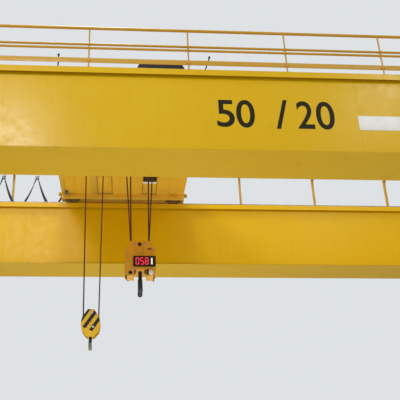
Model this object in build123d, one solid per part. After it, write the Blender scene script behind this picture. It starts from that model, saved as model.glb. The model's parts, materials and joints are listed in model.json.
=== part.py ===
from build123d import *
import math
import os

# Double-girder overhead travelling crane on short runway beams. Millimetres, +Z up.
# X runs along the bridge, Y along the runway. The origin is the middle of the left
# runway beam's flat underside, and the bridge stands over Y = 0.

# Runway
span = 22500
runwayLength = 12600
runwayDepth = 900
runwayFlangeWidth = 400
runwayFlangeThickness = 25
runwayWebThickness = 14
stiffenerPitch = 1260
stiffenerThickness = 12
stiffenerSetback = 15
seatBoltInset = 450
seatBoltSpacingX = 260
seatBoltSpacingY = 200
seatBoltHoleRadius = 13
runwayRailHeight = 120
runwayRailHead = 70
runwayRailFoot = 130
stopThickness = 150
stopHeight = 480
stopWidth = 180

# Bridge girders
girderSpacing = 5500
girderWidth = 950
girderDepth = 1850
webThickness = 12
topFlangeThickness = 25
bottomFlangeThickness = 20
flangeOverhang = 70
lipHeight = 137
lipThickness = 12
endLength = 750
taperLength = 1650
girderEndOverrun = 200
clearUnderEnds = 900

# End carriages and their running gear
carriageWidth = 400
carriageHeight = 600
carriageOverhang = 450
bridgeWheelBase = 6800
bridgeWheelRadius = 250
bridgeWheelFlangeHeight = 25
bridgeWheelFlangeThickness = 25
bridgeAxleRadius = 60
pocketSideClearance = 13
pocketEndClearance = 25
railSideClearance = 7
carriageRailClearance = 80
bufferRadius = 70
bufferLength = 120
driveMotorRadius = 130
driveMotorLength = 480
driveGearDepth = 110
bridgeTravel = 1800
stopClearance = 30

# Trolley rails and stops
trolleyRailHeight = 80
trolleyRailHead = 50
trolleyRailFoot = 100
trolleyRailOverrun = 400
leftStopFace = 1400
rightStopInset = 1300
trolleyStopWidth = 160
trolleyStopDepth = 180
trolleyStopHeight = 470

# Front handrail
handrailHeight = 1020
handrailFirstPost = 1600
handrailPostPitch = 2000
handrailPostRadius = 17
handrailTopRadius = 21
kneeBarRadius = 10
kneeBarHeights = (505, 600)
toeBarBottom = 140
toeBarHeight = 120
toeBarThickness = 8
handrailInset = 45

# Festoon
festoonPostFirst = -40
festoonPostPitch = 2330
festoonPostCount = 10
festoonPostSize = 60
festoonTrackClearance = 1420
festoonTrackHeight = 60
festoonTrackFlange = 50
festoonTrackFlangeThickness = 8
festoonTrackWeb = 8
festoonTrackInset = 300
festoonTrackOverrun = 70
carrierCount = 7
carrierPitch = 1000
carrierLength = 100
carrierDrop = 140
carrierCheek = 6
carrierRollerRadius = 9
clampHeight = 50
cableRadius = 24
cableSag = 1030
cableBottomWidth = 200
cableBendRadius = 125

# Trolley frame
trolleyCentre = 10300
trolleyLength = 3500
trolleyWheelInset = 300
trolleyWheelRadius = 175
trolleyWheelFlangeHeight = 20
trolleyWheelFlangeThickness = 20
trolleyAxleRadius = 40
sideBeamWidth = 300
sideBeamHeight = 400
sideBeamRailClearance = 70
crossBeamWidth = 160
crossBeamDepth = 150
deckThickness = 15
bellyThickness = 10
drainRadius = 20
deckBelowBeamTop = 85
deckJoint = 6
stringerThickness = 40
trolleyBufferRadius = 60
trolleyBufferLength = 100
trolleyDriveRadius = 105
trolleyDriveLength = 340
trolleyDriveBox = 90
towPostSize = 60
towPostInset = 150
cabinetFromRight = 440
cabinetLength = 1020
cabinetHeight = 345
cabinetChamferX = 75
cabinetChamferZ = 150

# Main hoist
mainOffset = 400
mainPitchRadius = 205
mainUpperPitchRadius = 225
mainDrumPitchRadius = 400
mainRopeRadius = 13
mainSheaveWidth = 64
mainSheaveRim = 17
mainSheavePitch = 100
mainAxleRadius = 45
mainDrumLength = 1900
mainDrumFlangeRadius = 445
mainDrumHeight = 575
mainUpperDrop = 100
mainAxleZ = 100
mainGearDepth = 380
mainGearHeight = 760
mainMotorOffset = 660
mainMotorHeight = 330
mainMotorRadius = 210
mainMotorLength = 760

# Auxiliary hoist
auxOffset = 705
auxPitchRadius = 170
auxUpperPitchRadius = 215
auxDrumPitchRadius = 220
auxRopeRadius = 11
auxSheaveWidth = 50
auxSheaveRim = 15
auxSheavePitch = 120
auxAxleRadius = 34
auxDrumLength = 1300
auxDrumFlangeRadius = 260
auxDrumHeight = 390
auxUpperDrop = 100
auxAxleZ = -1650
auxGearDepth = 320
auxGearHeight = 620
auxMotorOffset = -540
auxMotorHeight = 280
auxMotorRadius = 170
auxMotorLength = 620
drumFlangeThickness = 20
drumPedestalGap = 25
drumPedestalThickness = 70
drumPedestalHalf = 90
drumGearGap = 35

# Main hook block, measured from its sheave axle
mainPlateThickness = 20
mainBlockHalf = 360
mainBlockTopHalf = 235
mainBlockTop = 250
mainShoulderZ = 40
mainBlockBottom = -625
mainBlockChamfer = 60
mainNotchHalf = 140
mainNotchTop = -465
mainWall = 12
mainCrossheadTop = -345
mainCrossheadHalf = 100
displayLeft = -160
displayWidth = 515
displayTop = -155
displayHeight = 245
displayDepth = 50

# Main hook, measured from the same axle
mainShankRadius = 40
mainNutRadius = 65
mainNutHeight = 65
mainNeckHeight = 170
mainNeckHalf = 45
mainHookBowlZ = -870
mainHookBowlY = 150
mainHookInner = 80
mainHookOuter = 160
mainHookHalf = 50
mainTipHeight = 100

# Auxiliary hook block, measured from its sheave axle
auxPlateThickness = 14
auxBlockTopHalf = 67
auxBlockTop = 338
auxShoulderHalf = 187
auxShoulderZ = 160
auxBlockHalf = 212
auxBlockWaist = 50
auxHipHalf = 188
auxHipZ = -165
auxBlockBottom = -295
auxBlockBottomHalf = 75
auxBlockChamferX = 28
auxBlockChamferZ = 25
auxCrossheadBottom = -282
auxCrossheadTop = -227
auxCrossheadHalf = 60
auxSpreaderRadius = 18
auxSpreaderDrop = 40

# Auxiliary hook, measured from the same axle
auxShankRadius = 28
auxNutRadius = 45
auxNutHeight = 32
auxHookBowlZ = -465
auxHookInner = 66
auxHookOuter = 122
auxHookHalf = 34
auxMouthAngles = (12, 64)

# Fits
seatGap = 0.3
sheaveRoom = 25
swivelGap = 0.3
sheaveSideGap = 8

# Levels and places that follow from the sizes above
runwayTop = runwayDepth
runwayRailTop = runwayTop + runwayRailHeight
carriageLength = bridgeWheelBase + 2 * carriageOverhang
carriageBottom = runwayRailTop + carriageRailClearance
carriageTop = carriageBottom + carriageHeight
girderTop = carriageTop + girderDepth - clearUnderEnds
girderBottom = girderTop - girderDepth
frontY = -girderSpacing / 2
rearY = girderSpacing / 2
innerWebY = girderSpacing / 2 - girderWidth / 2 + webThickness / 2
trolleyRailY = innerWebY + 50
trolleyRailTop = girderTop + trolleyRailHeight
sideBeamBottom = trolleyRailTop + sideBeamRailClearance
sideBeamTop = sideBeamBottom + sideBeamHeight
deckTop = sideBeamTop - deckBelowBeamTop
deckBottom = deckTop - deckThickness
crossBeamBottom = deckBottom - crossBeamDepth
deckHalfY = trolleyRailY - sideBeamWidth / 2
trolleyLeft = trolleyCentre - trolleyLength / 2
trolleyRight = trolleyCentre + trolleyLength / 2
trolleyWheelBase = trolleyLength - 2 * trolleyWheelInset
mainX = trolleyCentre + mainOffset
auxX = trolleyCentre - auxOffset
postY = rearY + girderWidth / 2 + flangeOverhang - handrailInset
festoonTrackY = postY - festoonTrackInset
festoonTrackEnd = festoonPostFirst + festoonPostPitch * (festoonPostCount - 1) + festoonTrackOverrun
festoonTrackBottom = girderTop + festoonTrackClearance
festoonTrackTop = festoonTrackBottom + festoonTrackHeight
clampBottom = festoonTrackBottom - carrierDrop
clampTop = clampBottom + clampHeight
towX = trolleyLeft + towPostInset
bufferReach = carriageLength / 2 + bufferLength
stopFaceY = bufferReach + bridgeTravel + stopClearance

os.makedirs("parts", exist_ok=True)


def block(x0, x1, y0, y1, z0, z1):
    """Box between two corners."""
    size = Box(x1 - x0, y1 - y0, z1 - z0)
    return Pos((x0 + x1) / 2, (y0 + y1) / 2, (z0 + z1) / 2) * size


def alongX(radius, x0, x1, y, z):
    """Round bar along X."""
    return Pos((x0 + x1) / 2, y, z) * Rot(0, 90, 0) * Cylinder(radius, x1 - x0)


def alongY(radius, y0, y1, x, z):
    """Round bar along Y."""
    return Pos(x, (y0 + y1) / 2, z) * Rot(90, 0, 0) * Cylinder(radius, y1 - y0)


def alongZ(radius, z0, z1, x, y):
    """Round bar along Z."""
    return Pos(x, y, (z0 + z1) / 2) * Cylinder(radius, z1 - z0)


def rodBetween(start, end, radius):
    """Round bar from one point to another."""
    reach = Vector(*end) - Vector(*start)
    place = Plane(origin=start, z_dir=reach)
    return place * Cylinder(radius, reach.length, align=(Align.CENTER, Align.CENTER, Align.MIN))


def plateXZ(points, y0, y1):
    """Outline of (x, z) points, as a plate from y0 to y1."""
    side = Plane(origin=(0, y0, 0), x_dir=(1, 0, 0), z_dir=(0, -1, 0))
    return extrude(side * make_face(Polyline(*points, close=True)), -(y1 - y0))


def plateYZ(points, x0, x1):
    """Outline of (y, z) points, as a plate from x0 to x1."""
    side = Plane(origin=(x0, 0, 0), x_dir=(0, 1, 0), z_dir=(1, 0, 0))
    return extrude(side * make_face(Polyline(*points, close=True)), x1 - x0)


def railSection(centre, base, height, head, foot):
    """Outline of a flat-footed rail about its centre line."""
    web = head * 0.4
    footHeight = height * 0.14
    headDepth = height * 0.36
    half = [
        (foot / 2, 0),
        (foot / 2, footHeight),
        (web / 2, footHeight * 2),
        (web / 2, height - headDepth * 1.25),
        (head / 2, height - headDepth),
        (head / 2, height),
    ]
    right = [(centre + a, base + b) for a, b in half]
    left = [(centre - a, base + b) for a, b in reversed(half)]
    return right + left


def flangedWheel(x, y, z, radius, railHead, flangeHeight, flangeThickness, axleRadius, axleHalf, axis):
    """Double-flanged wheel with its axle, rolling along the other horizontal axis."""
    bar = alongX if axis == "X" else alongY
    middle, other = (x, y) if axis == "X" else (y, x)
    inner = railHead / 2 + railSideClearance
    outer = inner + flangeThickness
    wheel = bar(radius, middle - inner, middle + inner, other, z)
    for side in (-1, 1):
        near = middle + side * inner
        far = middle + side * outer
        wheel += bar(radius + flangeHeight, min(near, far), max(near, far), other, z)
    wheel += bar(axleRadius, middle - axleHalf, middle + axleHalf, other, z)
    return wheel


def sheave(x, y, z, pitchRadius, ropeRadius, width, rim, axleRadius):
    """Grooved rope sheave turning about Y."""
    floor = pitchRadius - ropeRadius - seatGap
    outer = pitchRadius + rim
    lip = width * 0.12
    outline = [
        (axleRadius, -width / 2),
        (outer, -width / 2),
        (outer, -width / 2 + lip),
        (floor, -ropeRadius - 1),
        (floor, ropeRadius + 1),
        (outer, width / 2 - lip),
        (outer, width / 2),
        (axleRadius, width / 2),
    ]
    profile = make_face(Polyline(*outline, close=True))
    return Pos(x, y, z) * revolve(profile, Axis.Y)


# Runway beams, rails and end stops


def runwayBeam(x):
    halfLength = runwayLength / 2
    halfFlange = runwayFlangeWidth / 2
    halfWeb = runwayWebThickness / 2
    t = runwayFlangeThickness
    section = [
        (x - halfFlange, 0),
        (x + halfFlange, 0),
        (x + halfFlange, t),
        (x + halfWeb, t),
        (x + halfWeb, runwayDepth - t),
        (x + halfFlange, runwayDepth - t),
        (x + halfFlange, runwayDepth),
        (x - halfFlange, runwayDepth),
        (x - halfFlange, runwayDepth - t),
        (x - halfWeb, runwayDepth - t),
        (x - halfWeb, t),
        (x - halfFlange, t),
    ]
    beam = plateXZ(section, -halfLength, halfLength)
    bays = round((runwayLength - 2 * stiffenerSetback) / stiffenerPitch)
    step = (runwayLength - 2 * stiffenerSetback - stiffenerThickness) / bays
    for i in range(bays + 1):
        y = -halfLength + stiffenerSetback + i * step
        beam += block(x - halfFlange + stiffenerSetback, x + halfFlange - stiffenerSetback,
                      y, y + stiffenerThickness, t, runwayDepth - t)
    for end in (-1, 1):
        seatY = end * (halfLength - seatBoltInset)
        for dx in (-seatBoltSpacingX / 2, seatBoltSpacingX / 2):
            for dy in (-seatBoltSpacingY / 2, seatBoltSpacingY / 2):
                beam -= alongZ(seatBoltHoleRadius, -1, t + 1, x + dx, seatY + dy)
    return beam


export_step(runwayBeam(0), "parts/left_runway_beam.step")
export_step(runwayBeam(span), "parts/right_runway_beam.step")

runwayRails = []
for x in (0, span):
    section = railSection(x, runwayTop, runwayRailHeight, runwayRailHead, runwayRailFoot)
    runwayRails.append(plateXZ(section, -runwayLength / 2, runwayLength / 2))
export_step(Compound(children=runwayRails), "parts/runway_rails.step")

runwayStops = []
for x in (0, span):
    for end in (-1, 1):
        near = stopFaceY
        foot = near + stopThickness
        outline = [
            (end * near, runwayRailTop),
            (end * foot, runwayRailTop),
            (end * foot, runwayRailTop + stopHeight * 0.6),
            (end * (near + stopThickness * 0.4), runwayRailTop + stopHeight),
            (end * near, runwayRailTop + stopHeight),
        ]
        runwayStops.append(plateYZ(outline, x - stopWidth / 2, x + stopWidth / 2))
export_step(Compound(children=runwayStops), "parts/runway_stops.step")


# Box girders

girderLeft = -girderEndOverrun
girderRight = span + girderEndOverrun
taperStart = girderLeft + endLength
taperEnd = taperStart + taperLength
girderUnderside = [
    (girderLeft, carriageTop),
    (taperStart, carriageTop),
    (taperEnd, girderBottom),
    (span - taperEnd, girderBottom),
    (span - taperStart, carriageTop),
    (girderRight, carriageTop),
]


def topFlange(y):
    outer = girderWidth / 2 + flangeOverhang
    plate = block(girderLeft, girderRight, y - outer, y + outer, girderTop - topFlangeThickness, girderTop)
    for side in (-1, 1):
        a = y + side * outer
        b = y + side * (outer - lipThickness)
        plate += block(girderLeft, girderRight, min(a, b), max(a, b), girderTop - lipHeight, girderTop)
    return plate


def bottomFlange(y):
    half = girderWidth / 2 + bottomFlangeThickness
    upper = [(x, z + bottomFlangeThickness) for x, z in reversed(girderUnderside)]
    return plateXZ(girderUnderside + upper, y - half, y + half)


def girderWebs(y):
    lower = [(x, z + bottomFlangeThickness) for x, z in girderUnderside]
    top = girderTop - topFlangeThickness
    outline = lower + [(girderRight, top), (girderLeft, top)]
    half = girderWidth / 2
    box = plateXZ(outline, y - half, y - half + webThickness)
    box += plateXZ(outline, y + half - webThickness, y + half)
    for x in (girderLeft, girderRight - webThickness):
        box += block(x, x + webThickness, y - half, y + half, carriageTop + bottomFlangeThickness, top)
    return box


for name, y in (("front", frontY), ("rear", rearY)):
    export_step(topFlange(y), f"parts/{name}_girder_top_flange.step")
    export_step(bottomFlange(y), f"parts/{name}_girder_bottom_flange.step")
    export_step(girderWebs(y), f"parts/{name}_girder_webs.step")


# End carriages, wheels, drives and buffers

wheelZ = runwayRailTop + seatGap + bridgeWheelRadius
wheelHalfWidth = runwayRailHead / 2 + railSideClearance + bridgeWheelFlangeThickness
pocketHalfX = wheelHalfWidth + pocketSideClearance
pocketHalfY = bridgeWheelRadius + bridgeWheelFlangeHeight + pocketEndClearance


def endCarriage(x):
    box = block(x - carriageWidth / 2, x + carriageWidth / 2, -carriageLength / 2, carriageLength / 2,
                carriageBottom, carriageTop)
    for end in (-1, 1):
        y = end * bridgeWheelBase / 2
        roof = wheelZ + pocketHalfY
        box -= block(x - pocketHalfX, x + pocketHalfX, y - pocketHalfY, y + pocketHalfY,
                     carriageBottom - 1, roof)
    return box


export_step(endCarriage(0), "parts/left_end_carriage.step")
export_step(endCarriage(span), "parts/right_end_carriage.step")

bridgeWheels = []
for x in (0, span):
    for end in (-1, 1):
        y = end * bridgeWheelBase / 2
        bridgeWheels.append(flangedWheel(x, y, wheelZ, bridgeWheelRadius, runwayRailHead,
                                         bridgeWheelFlangeHeight, bridgeWheelFlangeThickness,
                                         bridgeAxleRadius, pocketHalfX, "X"))
export_step(Compound(children=bridgeWheels), "parts/bridge_wheels.step")

bridgeDrives = []
for x, inward in ((0, 1), (span, -1)):
    y = -bridgeWheelBase / 2
    face = x + inward * carriageWidth / 2
    gearEnd = face + inward * driveGearDepth
    motorEnd = gearEnd + inward * driveMotorLength
    drive = block(min(face, gearEnd), max(face, gearEnd), y - driveMotorRadius, y + driveMotorRadius,
                  wheelZ - driveMotorRadius, wheelZ + driveMotorRadius * 1.4)
    drive += alongX(driveMotorRadius * 0.92, min(gearEnd, motorEnd), max(gearEnd, motorEnd), y, wheelZ)
    bridgeDrives.append(drive)
export_step(Compound(children=bridgeDrives), "parts/bridge_drives.step")

bridgeBuffers = []
for x in (0, span):
    for end in (-1, 1):
        a = end * carriageLength / 2
        b = end * bufferReach
        z = (carriageBottom + carriageTop) / 2
        bridgeBuffers.append(alongY(bufferRadius, min(a, b), max(a, b), x, z))
export_step(Compound(children=bridgeBuffers), "parts/bridge_buffers.step")


# Trolley rails and stops on the girders

trolleyRails = []
trolleyStops = []
rightStopFace = span - rightStopInset
railLeft = leftStopFace - trolleyRailOverrun
railRight = rightStopFace + trolleyRailOverrun
for y in (-trolleyRailY, trolleyRailY):
    section = railSection(y, girderTop, trolleyRailHeight, trolleyRailHead, trolleyRailFoot)
    trolleyRails.append(plateYZ(section, railLeft, railRight))
    for face, away in ((leftStopFace, -1), (rightStopFace, 1)):
        far = face + away * trolleyStopDepth
        outline = [
            (face, trolleyRailTop),
            (far, trolleyRailTop),
            (far, trolleyRailTop + trolleyStopHeight * 0.45),
            (face + away * trolleyStopDepth * 0.45, trolleyRailTop + trolleyStopHeight),
            (face, trolleyRailTop + trolleyStopHeight),
        ]
        trolleyStops.append(plateXZ(outline, y - trolleyStopWidth / 2, y + trolleyStopWidth / 2))
export_step(Compound(children=trolleyRails), "parts/trolley_rails.step")
export_step(Compound(children=trolleyStops), "parts/trolley_stops.step")


# Handrail on the front girder's outer edge


def frontHandrail():
    y = frontY - girderWidth / 2 - flangeOverhang + handrailInset
    postCount = int((span - handrailFirstPost) // handrailPostPitch) + 1
    posts = [handrailFirstPost + i * handrailPostPitch for i in range(postCount)]
    left = posts[0]
    right = posts[-1]
    topZ = girderTop + handrailHeight
    rail = alongX(handrailTopRadius, left - handrailTopRadius, right + handrailTopRadius, y, topZ)
    for height in kneeBarHeights:
        rail += alongX(kneeBarRadius, left, right, y, girderTop + height)
    for x in posts:
        rail += alongZ(handrailPostRadius, girderTop, topZ, x, y)
    rail += block(left - handrailPostRadius, right + handrailPostRadius, y - toeBarThickness / 2,
                  y + toeBarThickness / 2, girderTop + toeBarBottom, girderTop + toeBarBottom + toeBarHeight)
    return rail


export_step(frontHandrail(), "parts/front_handrail.step")


# Festoon: posts with arms, track, carriers and cable loops

armThickness = festoonPostSize
festoonPosts = []
for i in range(festoonPostCount):
    x = festoonPostFirst + i * festoonPostPitch
    half = festoonPostSize / 2
    post = block(x - half, x + half, postY - half, postY + half, girderTop, festoonTrackTop + armThickness)
    post += block(x - half, x + half, festoonTrackY - festoonTrackFlange / 2, postY + half,
                  festoonTrackTop, festoonTrackTop + armThickness)
    festoonPosts.append(post)
export_step(Compound(children=festoonPosts), "parts/festoon_posts.step")


def trackSection():
    f = festoonTrackFlange / 2
    w = festoonTrackWeb / 2
    t = festoonTrackFlangeThickness
    low = festoonTrackBottom
    high = festoonTrackTop
    half = [(f, low), (f, low + t), (w, low + t), (w, high - t), (f, high - t), (f, high)]
    right = [(festoonTrackY + a, b) for a, b in half]
    left = [(festoonTrackY - a, b) for a, b in reversed(half)]
    return right + left


anchorX = towX - carrierPitch * (carrierCount + 1)
track = plateYZ(trackSection(), festoonPostFirst - festoonPostSize, festoonTrackEnd)
trackHalf = festoonTrackFlange / 2
track += block(anchorX - carrierLength / 2, anchorX + carrierLength / 2, festoonTrackY - trackHalf,
               festoonTrackY + trackHalf, clampBottom, festoonTrackBottom)
export_step(track, "parts/festoon_track.step")


def festoonCarrier(x):
    cheekInner = festoonTrackFlange / 2 + carrierCheek
    cheekOuter = cheekInner + carrierCheek
    rollerZ = festoonTrackBottom + festoonTrackFlangeThickness + seatGap + carrierRollerRadius
    rollerInner = festoonTrackWeb / 2 + carrierCheek
    carrier = block(x - carrierLength / 2, x + carrierLength / 2, festoonTrackY - cheekOuter,
                    festoonTrackY + cheekOuter, clampBottom, clampTop)
    for side in (-1, 1):
        a = festoonTrackY + side * cheekInner
        b = festoonTrackY + side * cheekOuter
        c = festoonTrackY + side * rollerInner
        carrier += block(x - carrierLength * 0.4, x + carrierLength * 0.4, min(a, b), max(a, b), clampTop,
                         rollerZ + carrierRollerRadius)
        for dx in (-carrierLength * 0.25, carrierLength * 0.25):
            carrier += alongY(carrierRollerRadius, min(a, c), max(a, c), x + dx, rollerZ)
    return carrier


for i in range(carrierCount):
    x = anchorX + carrierPitch * (i + 1)
    export_step(festoonCarrier(x), f"parts/festoon_carrier_{i + 1}.step")


def cableLoop(left, right):
    inset = carrierLength * 0.3
    middle = (left + right) / 2
    route = FilletPolyline(
        (left + inset, festoonTrackY, clampBottom),
        (middle - cableBottomWidth / 2, festoonTrackY, clampBottom - cableSag),
        (middle + cableBottomWidth / 2, festoonTrackY, clampBottom - cableSag),
        (right - inset, festoonTrackY, clampBottom),
        radius=cableBendRadius * 0.75,
    )
    start = Plane(origin=route @ 0, z_dir=route % 0)
    return sweep(start * Circle(cableRadius), path=route)


cableLoops = []
for i in range(carrierCount + 1):
    left = anchorX + carrierPitch * i
    loop = cableLoop(left, left + carrierPitch)
    cut = block(left - carrierPitch, left + 2 * carrierPitch, festoonTrackY - 100, festoonTrackY + 100,
                clampBottom, clampBottom + 200)
    cableLoops.append(loop - cut)
export_step(Compound(children=cableLoops), "parts/festoon_cable.step")


# Trolley frame

trolleyWheelZ = trolleyRailTop + seatGap + trolleyWheelRadius
trolleyWheelHalf = trolleyRailHead / 2 + railSideClearance + trolleyWheelFlangeThickness
trolleyPocketHalfY = trolleyWheelHalf + pocketSideClearance
trolleyPocketHalfX = trolleyWheelRadius + trolleyWheelFlangeHeight + pocketEndClearance

sideBeams = []
trolleyWheels = []
trolleyBuffers = []
for y in (-trolleyRailY, trolleyRailY):
    beam = block(trolleyLeft, trolleyRight, y - sideBeamWidth / 2, y + sideBeamWidth / 2,
                 sideBeamBottom, sideBeamTop)
    for end in (-1, 1):
        x = trolleyCentre + end * trolleyWheelBase / 2
        beam -= block(x - trolleyPocketHalfX, x + trolleyPocketHalfX, y - trolleyPocketHalfY,
                      y + trolleyPocketHalfY, sideBeamBottom - 1, trolleyWheelZ + trolleyPocketHalfX)
        trolleyWheels.append(flangedWheel(x, y, trolleyWheelZ, trolleyWheelRadius, trolleyRailHead,
                                          trolleyWheelFlangeHeight, trolleyWheelFlangeThickness,
                                          trolleyAxleRadius, trolleyPocketHalfY, "Y"))
        a = trolleyCentre + end * trolleyLength / 2
        b = a + end * trolleyBufferLength
        z = (sideBeamBottom + sideBeamTop) / 2
        trolleyBuffers.append(alongX(trolleyBufferRadius, min(a, b), max(a, b), y, z))
    sideBeams.append(beam)
export_step(Compound(children=sideBeams), "parts/trolley_side_beams.step")
export_step(Compound(children=trolleyWheels), "parts/trolley_wheels.step")
export_step(Compound(children=trolleyBuffers), "parts/trolley_buffers.step")

mainWellHalf = max(mainUpperPitchRadius + mainSheaveRim, mainDrumPitchRadius) + sheaveRoom
auxWellHalf = max(auxUpperPitchRadius + auxSheaveRim, auxDrumPitchRadius) + sheaveRoom
mainStringerY = mainSheavePitch / 2 + mainSheaveWidth / 2 + sheaveSideGap + mainRopeRadius * 4
auxStringerY = auxSheavePitch / 2 + auxSheaveWidth / 2 + sheaveSideGap
wellLeft = auxX - auxWellHalf
wellMiddleLeft = auxX + auxWellHalf
wellMiddleRight = mainX - mainWellHalf
wellRight = mainX + mainWellHalf
beamLefts = [
    trolleyLeft,
    wellLeft - crossBeamWidth,
    wellMiddleLeft,
    wellMiddleRight - crossBeamWidth,
    wellRight,
    trolleyRight - crossBeamWidth,
]


def crossBeams():
    beams = []
    for x in beamLefts:
        beams.append(block(x, x + crossBeamWidth, -deckHalfY, deckHalfY, crossBeamBottom, deckBottom))
    for y0, x0, x1 in ((auxStringerY, wellLeft, wellMiddleLeft), (mainStringerY, wellMiddleRight, wellRight)):
        for side in (-1, 1):
            a = side * y0
            b = side * (y0 + stringerThickness)
            beams.append(block(x0, x1, min(a, b), max(a, b), crossBeamBottom, deckBottom))
    bellyTop = crossBeamBottom + bellyThickness
    belly = block(trolleyLeft, trolleyRight, -deckHalfY, deckHalfY, crossBeamBottom, bellyTop)
    belly -= block(wellLeft, wellMiddleLeft, -auxStringerY, auxStringerY, crossBeamBottom - 1, bellyTop + 1)
    belly -= block(wellMiddleRight, wellRight, -mainStringerY, mainStringerY, crossBeamBottom - 1,
                   bellyTop + 1)
    cells = [
        (trolleyLeft + crossBeamWidth, wellLeft - crossBeamWidth),
        (wellLeft, wellMiddleLeft),
        (wellMiddleLeft + crossBeamWidth, wellMiddleRight - crossBeamWidth),
        (wellMiddleRight, wellRight),
        (wellRight + crossBeamWidth, trolleyRight - crossBeamWidth),
    ]
    for x0, x1 in cells:
        for y in (-deckHalfY / 2, deckHalfY / 2):
            belly -= alongZ(drainRadius, crossBeamBottom - 1, bellyTop + 1, (x0 + x1) / 2, y)
    frame = belly
    for beam in beams:
        frame += beam
    return frame


export_step(crossBeams(), "parts/trolley_cross_beams.step")


def deckPlates():
    """Plates over the frame, with an open well over each set of upper sheaves."""
    columns = [
        (trolleyLeft, wellLeft, 0),
        (wellLeft, wellMiddleLeft, auxStringerY),
        (wellMiddleLeft, wellMiddleRight, 0),
        (wellMiddleRight, wellRight, mainStringerY),
        (wellRight, trolleyRight, 0),
    ]
    plates = []
    for x0, x1, well in columns:
        left = x0 + deckJoint / 2
        right = x1 - deckJoint / 2
        if well == 0:
            plates.append(block(left, right, -deckHalfY, deckHalfY, deckBottom, deckTop))
        else:
            plates.append(block(left, right, -deckHalfY, -well, deckBottom, deckTop))
            plates.append(block(left, right, well, deckHalfY, deckBottom, deckTop))
    return Compound(children=plates)


export_step(deckPlates(), "parts/trolley_deck.step")

trolleyDrives = []
for end in (-1, 1):
    x = trolleyCentre + end * trolleyWheelBase / 2
    y = -trolleyRailY - sideBeamWidth / 2
    z = trolleyWheelZ
    boxEnd = y - trolleyDriveBox
    drive = block(x - trolleyDriveRadius, x + trolleyDriveRadius, boxEnd, y, z - trolleyDriveRadius,
                  z + trolleyDriveRadius)
    drive += alongY(trolleyDriveRadius * 0.85, boxEnd - trolleyDriveLength, boxEnd, x, z)
    trolleyDrives.append(drive)
export_step(Compound(children=trolleyDrives), "parts/trolley_drives.step")

cabinetX = trolleyRight - cabinetFromRight - cabinetLength
cabinetOutline = [
    (cabinetX, sideBeamTop),
    (cabinetX + cabinetLength, sideBeamTop),
    (cabinetX + cabinetLength, sideBeamTop + cabinetHeight - cabinetChamferZ),
    (cabinetX + cabinetLength - cabinetChamferX, sideBeamTop + cabinetHeight),
    (cabinetX + cabinetChamferX, sideBeamTop + cabinetHeight),
    (cabinetX, sideBeamTop + cabinetHeight - cabinetChamferZ),
]
cabinetY = -trolleyRailY
export_step(plateXZ(cabinetOutline, cabinetY - sideBeamWidth / 2, cabinetY + sideBeamWidth / 2),
            "parts/trolley_cabinet.step")

towHalf = towPostSize / 2
towArm = block(towX - towHalf, towX + towHalf, trolleyRailY - towHalf, trolleyRailY + towHalf,
               sideBeamTop, clampTop)
towArm += block(towX - towHalf, towX + towHalf, trolleyRailY + towHalf, festoonTrackY + towHalf,
                clampBottom, clampTop)
towArm += block(towX - carrierLength / 2, towX + carrierLength / 2, festoonTrackY - towHalf,
                festoonTrackY + towHalf, clampBottom, clampTop)
export_step(towArm, "parts/festoon_tow_arm.step")


# Hoist machinery


def drum(x, z, pitchRadius, ropeRadius, length, flangeRadius, shaftRadius):
    """Rope drum between two pedestals that stand on the deck."""
    half = length / 2
    body = alongY(pitchRadius - ropeRadius - seatGap, -half, half, x, z)
    top = z + drumPedestalHalf
    for side in (-1, 1):
        a = side * half
        b = side * (half + drumFlangeThickness)
        body += alongY(flangeRadius, min(a, b), max(a, b), x, z)
        c = b + side * drumPedestalGap
        d = c + side * drumPedestalThickness
        body += alongY(shaftRadius, min(b, d), max(b, d), x, z)
        foot = [
            (x - drumPedestalHalf * 1.7, deckTop),
            (x + drumPedestalHalf * 1.7, deckTop),
            (x + drumPedestalHalf, top),
            (x - drumPedestalHalf, top),
        ]
        body += plateXZ(foot, min(c, d), max(c, d))
    return body


def hoistDrive(x, drumLength, gearDepth, gearHeight, motorOffset, motorHeight, motorRadius, motorLength):
    """Gearbox beyond the drum's end, with the motor and brake beside the drum."""
    motorX = x + motorOffset
    z = deckTop + motorHeight
    gearStart = drumLength / 2 + drumFlangeThickness + drumPedestalGap + drumPedestalThickness + drumGearGap
    gearEnd = gearStart + gearDepth
    left = min(x, motorX) - motorRadius * 1.1
    right = max(x, motorX) + motorRadius * 1.1
    drive = block(left, right, gearStart, gearEnd, deckTop, deckTop + gearHeight)
    motorEnd = gearStart - motorLength
    drive += alongY(motorRadius, motorEnd, gearStart, motorX, z)
    drive += block(motorX - motorRadius * 0.8, motorX + motorRadius * 0.8, motorEnd + motorRadius * 0.4,
                   gearStart - motorRadius * 0.4, deckTop, z)
    drive += alongY(motorRadius * 0.7, gearEnd, gearEnd + motorRadius * 0.8, motorX, z)
    return drive


mainDrumZ = deckTop + mainDrumHeight
auxDrumZ = deckTop + auxDrumHeight
export_step(drum(mainX, mainDrumZ, mainDrumPitchRadius, mainRopeRadius, mainDrumLength, mainDrumFlangeRadius,
                 mainAxleRadius), "parts/main_drum.step")
export_step(drum(auxX, auxDrumZ, auxDrumPitchRadius, auxRopeRadius, auxDrumLength, auxDrumFlangeRadius,
                 auxAxleRadius), "parts/aux_drum.step")
export_step(hoistDrive(mainX, mainDrumLength, mainGearDepth, mainGearHeight, mainMotorOffset, mainMotorHeight,
                       mainMotorRadius, mainMotorLength), "parts/main_hoist_drive.step")
export_step(hoistDrive(auxX, auxDrumLength, auxGearDepth, auxGearHeight, auxMotorOffset, auxMotorHeight,
                       auxMotorRadius, auxMotorLength), "parts/aux_hoist_drive.step")

mainUpperZ = deckTop - mainUpperDrop
auxUpperZ = deckTop - auxUpperDrop


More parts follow.
